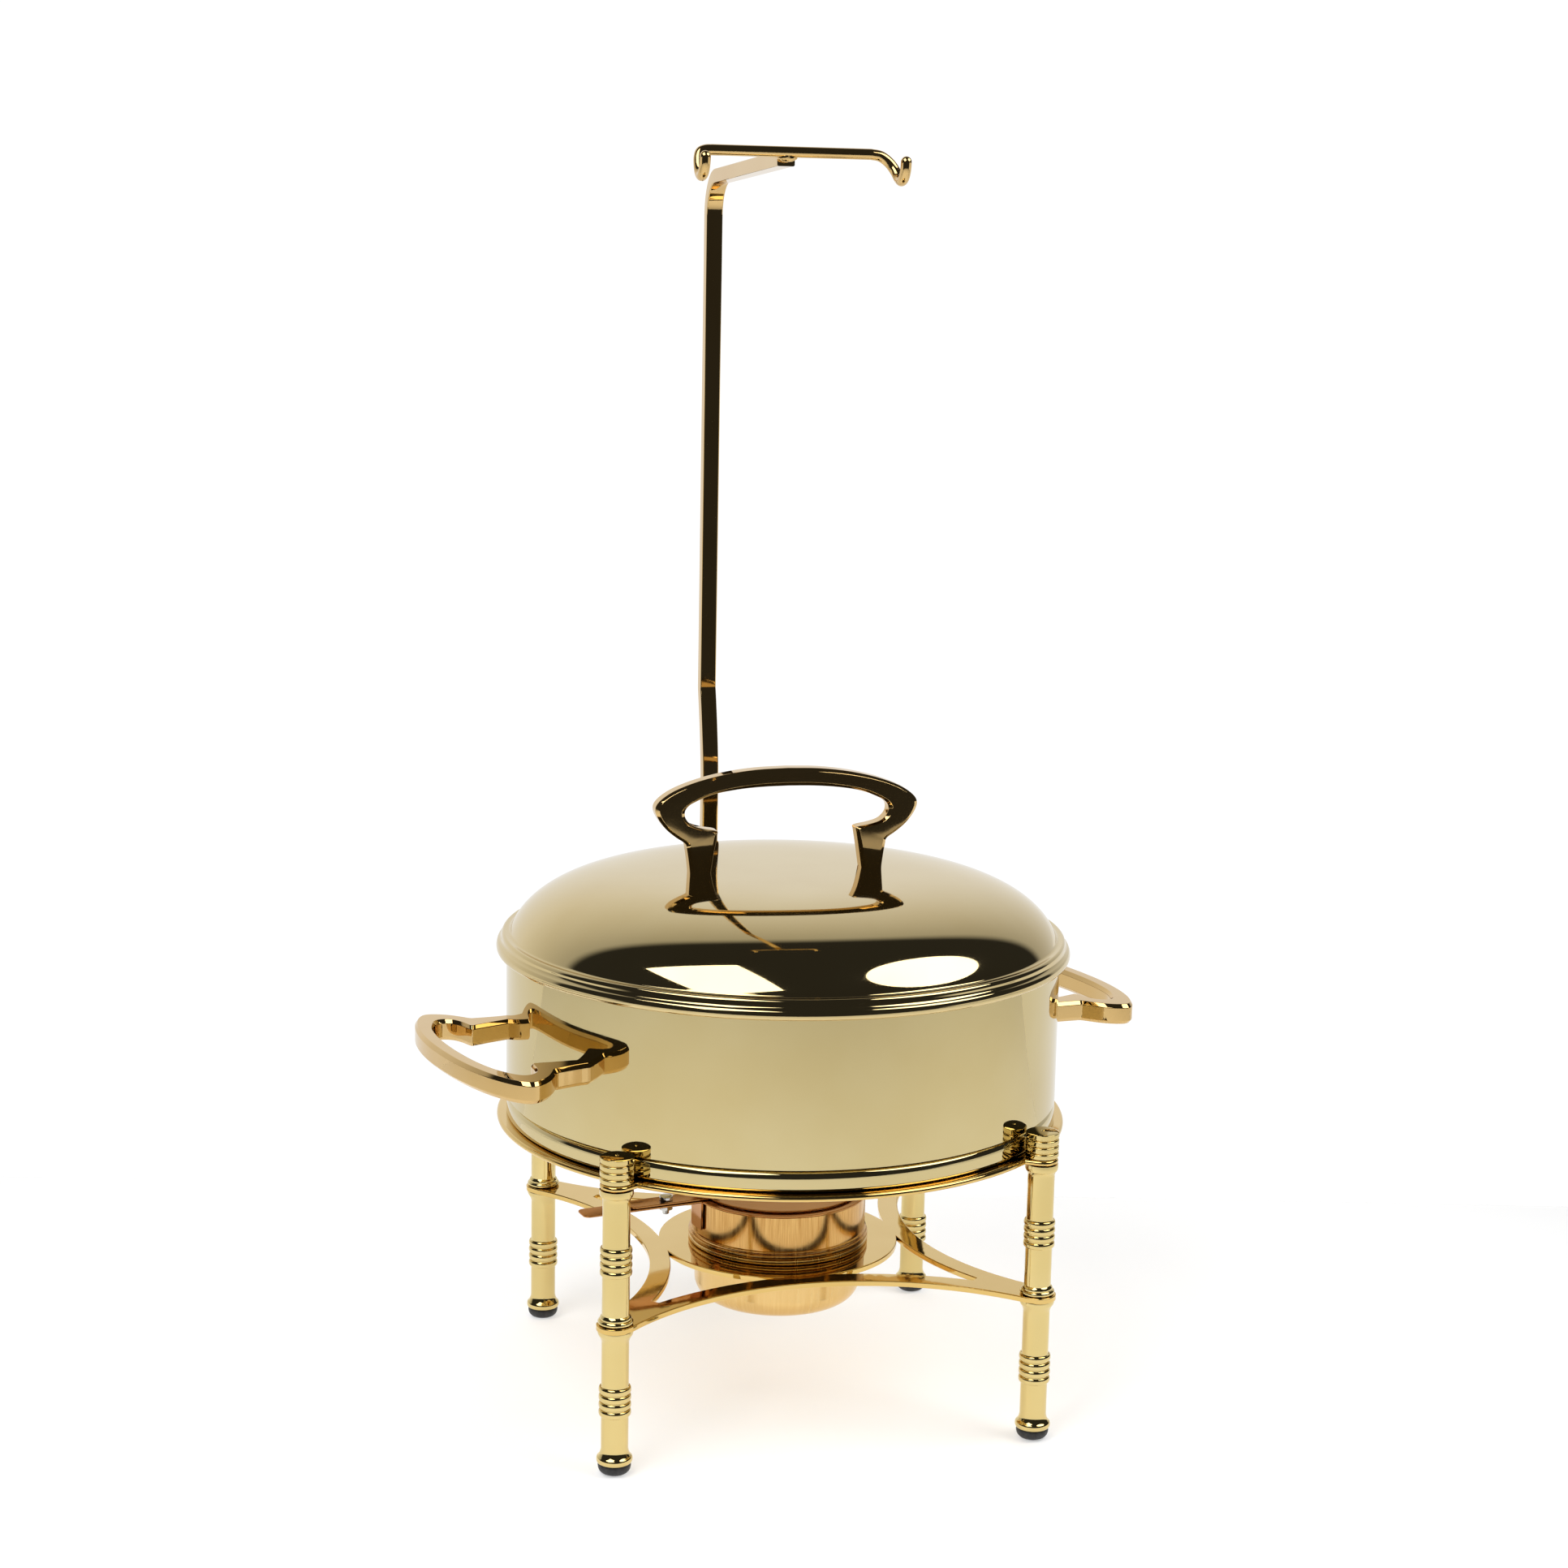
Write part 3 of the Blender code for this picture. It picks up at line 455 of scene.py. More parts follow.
def build_leg(name):
    """Foot, lower leg, upper leg and finial of one leg, in turned profile."""
    sign_x, sign_y = LEG_SIGNS[name]
    spot = Vector((sign_x * LEG_XY, sign_y * LEG_XY, 0))

    def stand_up(part, outline, look, slot, node):
        piece = finish_piece(f"{name}_{part}", turned(outline, SMALL_ROUND), look)
        piece.location += spot
        place(piece, "stand", slot, f"{name}_{node}")

    plate_bottom = plate_low.z
    plate_top = plate_high.z
    ring_bottom = ring_high.z - 0.0035

    sole = smooth([(0.0050, 0.0), (0.0074, 0.0008), (0.0091, 0.0026), (0.0097, 0.0050),
                   (0.0095, 0.0062)], 4)
    foot = [(0, 0.0)] + [tuple(p) for p in sole] + [(0.0044, 0.0062), (0.0044, 0.0158), (0, 0.0158)]
    stand_up("rubber_foot", foot, rubber, "black_rubber", "foot")

    low = 0.0065
    flare = smooth([(0.0095, low), (0.0103, low + 0.0009), (0.0106, low + 0.0024),
                    (0.0103, low + 0.0038), (0.0095, low + 0.0047), (0.0088, low + 0.0058),
                    (0.0083, low + 0.0072), (LEG_R, low + 0.0090)], 4)
    ribs = bead_row([0.0376, 0.0422, 0.0468, 0.0514], 0.0015, 0.0019, 0.0083)
    neck = smooth([(LEG_R, plate_bottom - 0.0072), (0.0083, plate_bottom - 0.0060),
                   (0.0091, plate_bottom - 0.0042), (0.0100, plate_bottom - 0.0027),
                   (0.0104, plate_bottom - 0.0014), (0.0103, plate_bottom - GAP)], 4)
    outline = [tuple(p) for p in flare] + ribs + [tuple(p) for p in neck]
    outline += [(0.0043, plate_bottom - GAP), (0.0043, plate_bottom - 0.0136), (0, plate_bottom - 0.0136),
                (0, 0.0163), (0.0048, 0.0163), (0.0048, low)]
    stand_up("lower_tube", outline, leg_gold, "polished_gold", "lower_leg")

    collar = smooth([(0.0096, plate_top + GAP), (0.0103, plate_top + 0.0010), (0.0102, plate_top + 0.0022),
                     (0.0095, plate_top + 0.0030)], 4)
    collar += smooth([(0.0091, plate_top + 0.0031), (0.0091, plate_top + 0.0040),
                      (0.0086, plate_top + 0.0050), (LEG_R, plate_top + 0.0057)], 3)
    ribs = bead_row([0.1222, 0.1266, 0.1310, 0.1354], 0.0014, 0.0018, 0.0083)
    head = smooth([(LEG_R, ring_bottom - 0.0072), (0.0083, ring_bottom - 0.0060),
                   (0.0092, ring_bottom - 0.0044)], 4)
    head += smooth([(0.0095, ring_bottom - 0.0042), (0.0099, ring_bottom - 0.0028),
                    (0.0098, ring_bottom - GAP)], 3)
    outline = [tuple(p) for p in collar] + ribs + [tuple(p) for p in head]
    outline += [(0.0033, ring_bottom - GAP), (0.0033, ring_bottom - 0.0106), (0, ring_bottom - 0.0106),
                (0, plate_top + 0.0136), (0.0043, plate_top + 0.0136), (0.0043, plate_top + GAP)]
    stand_up("upper_tube", outline, leg_gold, "polished_gold", "upper_leg")

    base = ring_high.z + GAP
    top = finial_high.z
    pitch = (top - base) / 4
    outline = [(0.0030, finial_low.z), (0.0030, base), (0.0088, base)]
    corners = []
    for k in range(4):
        start = base + pitch * k
        corners += [(0.0088, start + 0.0001), (0.0099, start + 0.0004, 0.0009),
                    (0.0099, start + pitch - 0.0007, 0.0009 if k < 3 else 0.0004)]
        if k < 3:
            corners.append((0.0088, start + pitch - 0.0003))
    corners.append((0.0080, top, 0.0))
    outline += rounded(corners, 4)
    outline += [(0.0012, top), (0.0006, top - 0.0005), (0, top - 0.0007), (0, finial_low.z)]
    stand_up("cap_finial", outline, leg_gold, "polished_gold", "finial")


# ---- flat frames --------------------------------------------------------------------------
FRAME_RING_R = 0.0747
FRAME_ARC_OUT = (0.1680, 0.0854)
FRAME_ARC_IN = (0.1850, 0.0727)
FRAME_BORE_R = 0.0532


def build_lower_plate():
    """The star-shaped plate that the burner hangs in."""
    radius, nearest = FRAME_ARC_OUT
    centre = radius + nearest
    outer = []
    half = math.degrees(math.asin(0.1188 / radius))
    for side in range(4):
        facing = math.radians(90 * side)
        middle = (centre * math.cos(facing), centre * math.sin(facing))
        outer += arc(middle, radius, 90 * side + 180 + half, 90 * side + 180 - half, 40)
        leg = 90 * side + 45
        outer += arc(leg_spot(leg), 0.0113, leg - 62, leg + 62, 16)
    radius, nearest = FRAME_ARC_IN
    centre = radius + nearest
    windows = []
    for side in range(4):
        corner = 90 * side + 45
        loop = arc((0, 0), FRAME_RING_R, corner + 34.0, corner - 34.0, 24)
        for facing, start, end in ((90 * side, -8.0, -31.5), (90 * side + 90, 31.5, 8.0)):
            middle = (centre * math.cos(math.radians(facing)), centre * math.sin(math.radians(facing)))
            loop += arc(middle, radius, facing + 180 + start, facing + 180 + end, 24)
        windows.append(loop[::-1])
    bore = arc((0, 0), FRAME_BORE_R, 0, 360, 96)[:-1]
    studs = []
    for sign_x, sign_y in LEG_SIGNS.values():
        studs.append(arc((sign_x * LEG_XY, sign_y * LEG_XY), 0.0045, 0, 360, 16)[:-1])
    windows = [loop if area(loop) > 0 else loop[::-1] for loop in windows]
    bm = slab(outer, [bore] + windows + studs, plate_low.z, plate_high.z, 0.0006)
    place(finish_piece("star_plate", bm, frame_gold), "stand", "polished_gold", "lower_frame_plate")


def leg_spot(turn):
    """Place of the leg that stands at an angle in degrees about the pan's axis."""
    return (LEG_XY * math.sqrt(2) * math.cos(math.radians(turn)),
            LEG_XY * math.sqrt(2) * math.sin(math.radians(turn)))


def area(loop):
    """Signed area of a loop: positive when it runs anticlockwise."""
    total = 0.0
    for i, (x, y) in enumerate(loop):
        total += loop[i - 1][0] * y - x * loop[i - 1][1]
    return total / 2


def build_upper_ring():
    """The flat ring under the water pan, with an ear at each leg and a lug for the post."""
    outer = []
    ear = 0.0098
    for leg in (45, 135, 225, 315):
        outer += arc((0, 0), RING_R, leg - 86.4, leg - 3.6, 56)
        outer += arc(leg_spot(leg), ear, leg - 88, leg + 88, 20)
    bore = arc((0, 0), RING_BORE_R, 0, 360, 128)[:-1]
    pins = []
    for sign_x, sign_y in LEG_SIGNS.values():
        pins.append(arc((sign_x * LEG_XY, sign_y * LEG_XY), 0.0034, 0, 360, 16)[:-1])
    bm = slab(outer, [bore] + pins, ring_high.z - 0.0035, ring_high.z, 0.0017, 7)
    ring = finish_piece("support_ring", bm, frame_gold)
    place(ring, "stand", "polished_gold", "upper_ring")

    back = POST_LOW_FACE - GAP
    thick = 0.0033
    low = ring_low.z
    corner_y = back - thick
    outline = rounded([(RING_R - 0.004, ring_high.z - 0.0036), (corner_y, ring_high.z - 0.0036, 0.0012),
                       (corner_y, low + 0.0004, 0.0010), (back, low + 0.0004, 0.0010),
                       (back, ring_high.z - 0.0004, 0.0028), (RING_R - 0.004, ring_high.z - 0.0004)],
                      4, True)
    lug = bmesh.new()
    half = 0.0090
    rows = [[lug.verts.new((POST_X + x, y, z)) for y, z in outline] for x in (-half, half)]
    skin(lug, rows)
    piece = finish_piece("post_lug", lug, frame_gold)
    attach(piece, "stand")


# ---- post and hanger ----------------------------------------------------------------------
POST_X = (post_low.x + post_high.x) / 2
POST_W = post_high.x - post_low.x
POST_T = 0.0090
POST_LOW_Y = 0.1845           # middle of the bar below its bend
POST_LOW_FACE = POST_LOW_Y - POST_T / 2


def build_post():
    """The bent bar behind the pan, with its short rising arm."""
    high_y = post_high.y - AXIS.y - POST_T / 2
    bend = 0.0250
    arm_start = (0.1700, 0.7474)
    arm_tip = (0.0038, 0.7529)
    corner = (high_y - bend, arm_start[1] - bend)
    path = [(POST_LOW_Y, post_low.z), (POST_LOW_Y, 0.20), (POST_LOW_Y, 0.30)]
    jog_low, jog_high = 0.3500, 0.4100
    jog_power = 1.5
    for k in range(25):
        share = k / 24
        path.append((POST_LOW_Y + (high_y - POST_LOW_Y) * share ** jog_power,
                     jog_low + (jog_high - jog_low) * share))
    path += [(high_y, 0.4115), (high_y, 0.50), (high_y, 0.60), (high_y, 0.70)]
    path += arc(corner, bend, 0, 88, 16)
    path += [(0.12, arm_start[1] + (0.17 - 0.12) * 0.0331), arm_tip]
    route = [Vector((POST_X, y, z)) for y, z in path]
    bm = swept(route, bar_section(POST_W, POST_T, 0.0009, 3), side=Vector((1, 0, 0)))
    place(finish_piece("holder_post", bm, cast_gold), "stand", "polished_gold", "lid_holder_post")


def build_hanger():
    """The round rod across the arm's end, with a hook at each side."""
    radius = 0.00325
    rod_z = rod_high.z - radius
    tip = [(-0.0605, -0.0205, 0.7520), (-0.0605, -0.0196, 0.7475), (-0.0605, -0.0165, 0.7431),
           (-0.0605, -0.0118, 0.7413), (-0.0605, -0.0072, 0.7428), (-0.0604, -0.0038, 0.7470),
           (-0.0600, -0.0016, 0.7520), (-0.0588, -0.0004, 0.7550), (-0.0560, 0.0, rod_z - 0.0003),
           (-0.0520, 0.0, rod_z)]
    other = [(0.0440, 0.0, rod_z), (0.0500, 0.0, rod_z - 0.0010), (0.0550, -0.0010, rod_z - 0.0045),
             (0.0585, -0.0032, 0.7470), (0.0598, -0.0068, 0.7428), (0.0600, -0.0118, 0.7413),
             (0.0600, -0.0165, 0.7431), (0.0600, -0.0196, 0.7475), (0.0600, -0.0205, 0.7520)]
    route = smooth(tip, 6)[:-1] + smooth([tip[-1], (0.0, 0.0, rod_z), other[0]], 6)[:-1]
    route += smooth(other, 6)
    section = arc((0, 0), radius, 0, 360, 28)[:-1]
    bm = swept(route, section, round_ends=radius)
    place(finish_piece("hook_rod", bm, rod_gold), "stand", "polished_gold", "hanger_rod")

    bead = turned(arc((0, 0), 1.0, -90, 90, 24), 40)
    for vert in bead.verts:
        lump = noise_3d.noise(vert.co * 2.4) * 0.10 + noise_3d.noise(vert.co * 6.0) * 0.035
        vert.co *= 1.0 + lump
        vert.co = Vector((POST_X + vert.co.x * 0.0059, 0.0010 + vert.co.y * 0.0036,
                          rod_z - 0.0030 + vert.co.z * 0.0030))
    weld = finish_piece("arm_weld", bead, cast_gold, 180.0)
    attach(weld, "stand")


# ---- cast handles -------------------------------------------------------------------------
def loop_stations():
    """Outer and inner edge of half the cast loop, from the foot to the top of the loop."""
    pairs = [((0.0603, -0.0060), (0.0478, -0.0060)), ((0.0605, 0.0), (0.0476, 0.0)),
             ((0.0606, 0.0020), (0.0473, 0.0020)),
             ((0.0616, 0.0100), (0.0456, 0.0130)), ((0.0626, 0.0160), (0.0438, 0.0235)),
             ((0.0630, 0.0182), (0.0434, 0.0258)), ((0.0645, 0.0198), (0.0446, 0.0266)),
             ((0.0690, 0.0228), (0.0530, 0.0282)), ((0.0755, 0.0282), (0.0598, 0.0306)),
             ((0.0806, 0.0350), (0.0636, 0.0350)), ((0.0824, 0.0403), (0.0638, 0.0392)),
             ((0.0812, 0.0440), (0.0614, 0.0424)), ((0.0740, 0.0500), (0.0565, 0.0451)),
             ((0.0600, 0.0560), (0.0470, 0.0488)), ((0.0400, 0.0610), (0.0320, 0.0515)),
             ((0.0200, 0.0636), (0.0165, 0.0528)), ((0.0, 0.0643), (0.0, 0.0532))]
    return pairs


def build_loop(name, look):
    """The cast loop in its own X-Z plane, its feet running a little below zero."""
    pairs = loop_stations()
    outer = smooth([pair[0] for pair in pairs], 4)
    inner = smooth([pair[1] for pair in pairs], 4)
    outer += [Vector((-p.x, p.y)) for p in reversed(outer[:-1])]
    inner += [Vector((-p.x, p.y)) for p in reversed(inner[:-1])]
    half = 0.0065
    cut = 0.0022
    bm = bmesh.new()
    rings = []
    for out, into in zip(outer, inner):
        width = (out - into).length
        section = rounded([(0, -half + cut, 0.0008), (cut, -half, 0.0008), (width - cut, -half, 0.0008),
                           (width, -half + cut, 0.0008), (width, half - cut, 0.0008),
                           (width - cut, half, 0.0008), (cut, half, 0.0008), (0, half - cut, 0.0008)],
                          2, True)
        along = (out - into).normalized()
        rings.append([bm.verts.new((into.x + along.x * u, v, into.y + along.y * u))
                      for u, v in section])
    skin(bm, rings)
    return finish_piece(name, bm, look, 24.0)


def build_handles():
    """One loop on the lid and the same casting flat on each side of the pan."""
    rise = 0.0643
    lid_loop = build_loop("lid_loop", cast_gold)
    lid_loop.location += Vector((0, 0, handle_high.z - rise))
    place(lid_loop, "lid", "polished_gold", "lid_handle")
    for name, turn in (("right", 14.9), ("left", 194.9)):
        node = f"{name}_handle"
        low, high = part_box(node)
        middle = (low.z + high.z) / 2
        loop = build_loop(f"{name}_loop", cast_gold)
        spin = Matrix.Rotation(math.radians(turn), 4, "Z")
        lay = Matrix(((0, 0, 1, 0.2270 - rise), (1, 0, 0, 0), (0, 1, 0, middle), (0, 0, 0, 1)))
        loop.data.transform(spin @ lay)
        place(loop, "water_pan_body", "polished_gold", node)


# ---- pans and lid -------------------------------------------------------------------------
def build_water_pan():
    """The deep pan: upright wall, a small neck, a round shoulder below it and a tight foot."""
    floor = pan_low.z
    top = pan_high.z
    neck_r = PAN_R - 0.0032
    foot = 0.0022
    inner_corner = 0.0100
    outline = [(0, floor)] + arc((PAN_R - foot, floor + foot), foot, -90, 0, 12)
    for turn in range(0, 91, 5):
        lean = math.radians(turn)
        outline.append((neck_r + 0.0032 * math.cos(lean), floor + 0.0075 + 0.0045 * math.sin(lean)))
    outline += [(neck_r, floor + 0.0122), (PAN_R - 0.0006, floor + 0.0126), (PAN_R, floor + 0.0132)]
    outline += [(PAN_R, top - 0.0004), (PAN_R - 0.0004, top), (PAN_R - SHEET, top)]
    outline += [(PAN_R - SHEET, floor + 0.0146), (neck_r - SHEET, floor + 0.0128)]
    outline += arc((neck_r - SHEET - inner_corner, floor + SHEET + inner_corner), inner_corner, 0, -90, 16)
    outline += [(0, floor + SHEET)]
    piece = finish_piece("deep_pan", turned(outline, ROUND), pan_gold)
    place(piece, "water_pan_body", "polished_gold", "water_pan")


def build_food_pan():
    """The steel insert with its flat rim."""
    rim_low = food_high.z - 0.0017
    rim_top = food_high.z
    floor = food_low.z
    corner = (0.1452, floor + 0.0120)
    outline = [(0, floor)] + arc(corner, 0.0120, -90, -8, 12)
    outline += [(0.1585, rim_low), (0.1712, rim_low), (0.1712, rim_top), (0.1563, rim_top)]
    outline += arc(corner, 0.0108, -8, -90, 12) + [(0, floor + SHEET)]
    piece = finish_piece("steel_insert", turned(outline, ROUND), steel_bright)
    place(piece, "food_pan_body", "polished_steel", "food_pan")


DOME_R, DOME_H = 0.1704, 0.0512      # superellipse that the dome follows
DOME_POWERS = (4.18, 0.49)
DOME_EDGE_R = 0.1672                 # where the dome runs into the groove


def dome_height(radius):
    """Height of the dome's outer face above the floor."""
    share = max(1.0 - (radius / DOME_R) ** DOME_POWERS[0], 0.0)
    return DOME_TOP_Z - DOME_H + DOME_H * share ** DOME_POWERS[1]


def build_lid():
    """The domed lid: flat crown, round shoulder, groove, ridge and rolled bead."""
    steps = 72
    radii = [DOME_EDGE_R * math.sin(math.pi / 2 * k / steps) for k in range(steps + 1)]
    top = [(radius, dome_height(radius)) for radius in radii]
    edge = top.pop()
    rim = smooth([edge, (0.1677, 0.28945), (0.1688, 0.28890), (0.1702, 0.28885), (0.1716, 0.28885),
                  (0.1726, 0.2881), (0.17305, 0.2869), (0.1732, 0.2856), (0.1735, 0.2846),
                  (0.1743, 0.2838), (0.1753, 0.2831), (0.17595, 0.2818), (0.1762, 0.2802),
                  (0.1760, 0.2788), (0.1754, 0.2779), (0.1748, lid_low.z)], 5)
    outline = top + [tuple(point) for point in rim]
    outline += [(0.1718, lid_low.z), (0.1718, 0.2868), (0.1662, 0.2868), (0.1656, 0.2898)]
    step = 0.0001
    for radius in reversed(radii[:-2]):
        inner = max(radius, step)
        slope = math.atan((dome_height(inner - step) - dome_height(inner + step)) / (2 * step))
        outline.append((max(radius - SHEET * math.sin(slope), 0.0),
                        dome_height(radius) - SHEET * math.cos(slope)))
    piece = finish_piece("domed_lid", turned(outline, ROUND), lid_gold)
    place(piece, "lid", "polished_gold", "lid_dome")


# ---- burner -------------------------------------------------------------------------------
def build_burner():
    """The cup, the sleeve, the flat handle ring and the damper over the mouth."""
    bead_low = plate_high.z + GAP
    corner = (0.0400, cup_low.z + 0.0120)
    outline = [(0, cup_low.z)] + arc(corner, 0.0120, -90, 0, 14)
    outline += [(0.0520, bead_low)]
    outline += rounded([(0.0530, bead_low), (0.0562, bead_low, 0.0012), (0.0562, bead_low + 0.0030, 0.0012),
                        (0.0530, bead_low + 0.0030)], 5)
    outline += [(0.0508, bead_low + 0.0030)] + arc(corner, 0.0108, 0, -90, 10) + [(0, cup_low.z + SHEET)]
    piece = finish_piece("spirit_cup", turned(outline, 96), cup_copper)
    place(piece, "burner", "copper_gold", "burner_cup")

    low = sleeve_low.z
    top = sleeve_high.z
    outer = 0.0545
    outline = [(0.0533, low)]
    outline += rounded([(0.0545, low), (0.0562, low, 0.0010), (0.0562, low + 0.0026, 0.0010),
                        (0.0550, low + 0.0030), (0.0549, low + 0.0036), (0.0554, low + 0.0040, 0.0004),
                        (0.0554, low + 0.0047, 0.0004), (outer, low + 0.0052), (outer, top, 0.0005),
                        (0.0533, top)], 4)
    piece = finish_piece("brushed_sleeve", turned(outline, 96), sleeve_copper)
    place(piece, "burner", "copper_gold", "burner_sleeve")

    strip_low = top + GAP
    strip_top = strip_low + SHEET
    turn = math.radians(STRIP_ANGLE)
    pivot = (PIVOT_R * math.cos(turn), PIVOT_R * math.sin(turn))
    hole = arc(pivot, 0.0023, 0, 360, 24)[:-1]
    mouth = arc((0, 0), 0.0500, 0, 360, 96)[:-1]
    band = slab(disc_with_arm(0.0560, 0.0150, 0.1325, 0.0040), [mouth, hole], strip_low, strip_top,
                0.0004)
    tab = rounded([(-0.0075, 0.1040, 0.0015), (0.0075, 0.1040, 0.0015), (0.0075, strip_top - 0.0003),
                   (-0.0075, strip_top - 0.0003)], 4, True)
    spin = Matrix.Rotation(turn, 4, "Z")
    tab_faces = (0.0548, 0.0560)
    skin(band, [[band.verts.new(spin @ Vector((radius, across, height))) for across, height in tab]
                for radius in tab_faces])
    place(finish_piece("burner_strip", band, strip_copper), "burner", "copper_gold", "burner_handle")

    plate = strip_top + GAP
    disc = slab(disc_with_arm(0.0505, 0.0140, 0.1020, 0.0035), [hole], plate, plate + SHEET, 0.0004)
    place(finish_piece("damper_plate", disc, strip_copper), "damper", "copper_gold", "damper_disc")

    head = plate + SHEET + GAP
    outline = [(0, strip_low - 0.0062), (0.0016, strip_low - 0.0062), (0.0020, strip_low - 0.0058),
               (0.0020, head), (0.0042, head)]
    outline += arc((0.0030, head + 0.0016), 0.0012, 0, 70, 6)
    outline += [(0.0012, head + 0.0030), (0, head + 0.0030)]
    piece = finish_piece("damper_bolt_head", turned(outline, 32), steel_bright)
    piece.location += Vector((*pivot, 0))
    place(piece, "burner", "polished_steel", "damper_bolt")
    nut = hex_nut(0.0044, 0.0023, strip_low - GAP - 0.0030, strip_low - GAP)
    piece = finish_piece("damper_hex_nut", nut, steel_bright)
    piece.location += Vector((*pivot, 0))
    place(piece, "burner", "polished_steel", "damper_nut")

    tin_low, tin_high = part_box("fuel_tin")
    wall = (tin_high.x - tin_low.x) / 2
    base = tin_low.z
    rim = tin_high.z
    outline = [(0, base + 0.0006), (wall - 0.0030, base + 0.0006), (wall - 0.0022, base)]
    outline += rounded([(wall - 0.0012, base), (wall, base, 0.0008), (wall, base + 0.0024, 0.0008),
                        (wall - 0.0008, base + 0.0030), (wall - 0.0008, rim - 0.0030),
                        (wall, rim - 0.0024, 0.0008), (wall, rim, 0.0008), (wall - 0.0016, rim)], 4)
    outline += [(wall - 0.0024, rim - 0.0012), (0.0212, rim - 0.0012), (0.0206, rim - 0.0002),
                (0.0200, rim - 0.0004), (0.0200, rim - 0.0020), (wall - 0.0024, rim - 0.0020),
                (wall - 0.0018, base + 0.0016), (0, base + 0.0016)]
    place(finish_piece("open_tin", turned(outline, 72), tin_steel), "burner", "polished_steel", "fuel_tin")


def disc_with_arm(radius, width, reach, corner):
    """Outline of a round disc with a straight arm that ends in rounded corners."""
    half = width / 2
    lean = math.degrees(math.asin(half / radius))
    root = radius * math.cos(math.radians(lean))
    loop = arc((0, 0), radius, lean, 360 - lean, 96)
    loop += rounded([(root, -half), (reach, -half, corner), (reach, half, corner), (root, half)], 6)[1:-1]
    turn = math.radians(STRIP_ANGLE)
    return [(x * math.cos(turn) - y * math.sin(turn), x * math.sin(turn) + y * math.cos(turn))
            for x, y in loop]


def hex_nut(reach, bore, low, high):
    """A hexagon nut with turned-down corners."""
    bm = bmesh.new()
    sides = 48
    chamfer = 0.0005
    rings = []
    for height, limit in ((low, 0.90), (low + chamfer, 1.0), (high - chamfer, 1.0), (high, 0.90)):
        ring = []
        for k in range(sides):
            turn = math.tau * k / sides
            flat = math.cos(math.pi / 6) / math.cos((turn + math.pi / 6) % (math.pi / 3) - math.pi / 6)
            size = reach * min(flat, limit)
            ring.append(bm.verts.new((size * math.cos(turn), size * math.sin(turn), height)))
        rings.append(ring)
    for height in (high, low):
        rings.append([bm.verts.new((bore * math.cos(math.tau * k / sides),
                                    bore * math.sin(math.tau * k / sides), height))
                      for k in range(sides)])
    for low_ring, high_ring in zip(rings, rings[1:] + rings[:1]):
        for k in range(sides):
            bm.faces.new((low_ring[k - 1], low_ring[k], high_ring[k], high_ring[k - 1]))
    return bm


def fixing(name, bm, where, body, node):
    """A bright steel fixing, set in its place and standing for its CAD node."""
    piece = finish_piece(name, bm, steel_bright)
    piece.data.transform(where)
    place(piece, body, "polished_steel", node)


def build_fixings():
    """The bolts and nuts of the post, and the screws of the three cast handles."""
    for name in ("upper", "lower"):
        low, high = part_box(f"post_bolt_{name}")
        front, back = low.y - AXIS.y, high.y - AXIS.y
        shank = 0.0021
        outline = [(0, front), (shank - 0.0004, front), (shank, front + 0.0004), (shank, back - 0.0028),
                   (0.0042, back - 0.0028)]
        outline += [(0.0042, back - 0.0016), (0.0038, back - 0.0007), (0.0026, back), (0, back)]
        along = Matrix.Translation(((low.x + high.x) / 2 - AXIS.x, 0, (low.z + high.z) / 2))
        along = along @ Matrix.Rotation(-math.pi / 2, 4, "X")
        fixing(f"post_{name}_bolt_head", turned(outline, 32), along, "stand", f"post_bolt_{name}")
        low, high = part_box(f"post_nut_{name}")
        nut = hex_nut(0.0046, 0.0024, low.y - AXIS.y, high.y - AXIS.y)
        fixing(f"post_{name}_hex_nut", nut, along, "stand", f"post_nut_{name}")
    head = [(0, -0.0040), (0.0026, -0.0040), (0.0034, -0.0037), (0.0041, -0.0030), (0.0044, -0.0020),
            (0.0044, -0.0011), (0.0020, -0.0011), (0.0020, 0.0085), (0, 0.0085)]
    wall = PAN_R - SHEET
    swing = math.degrees(math.asin(HANDLE_SCREW_S / PAN_R))
    middle = (handle_side_low.z + handle_side_high.z) / 2
    for handle, turn, front in (("left", 194.9, 1), ("right", 14.9, -1)):
        for side, sign in (("front", front), ("rear", -front)):
            spin = Matrix.Rotation(math.radians(turn + sign * swing), 4, "Z")
            axis = spin @ Matrix.Translation((wall, 0, middle)) @ Matrix.Rotation(math.pi / 2, 4, "Y")
            fixing(f"{handle}_{side}_screw_head", turned(head, 28), axis, "water_pan_body",
                   f"{handle}_handle_{side}_screw")
    for side, sign in (("left", -1), ("right", 1)):
        height = dome_height(HANDLE_SCREW_S + 0.0045) - SHEET
        fixing(f"lid_{side}_screw_head", turned(head, 28),
               Matrix.Translation((sign * HANDLE_SCREW_S, 0, height)), "lid",
               f"lid_handle_{side}_screw")


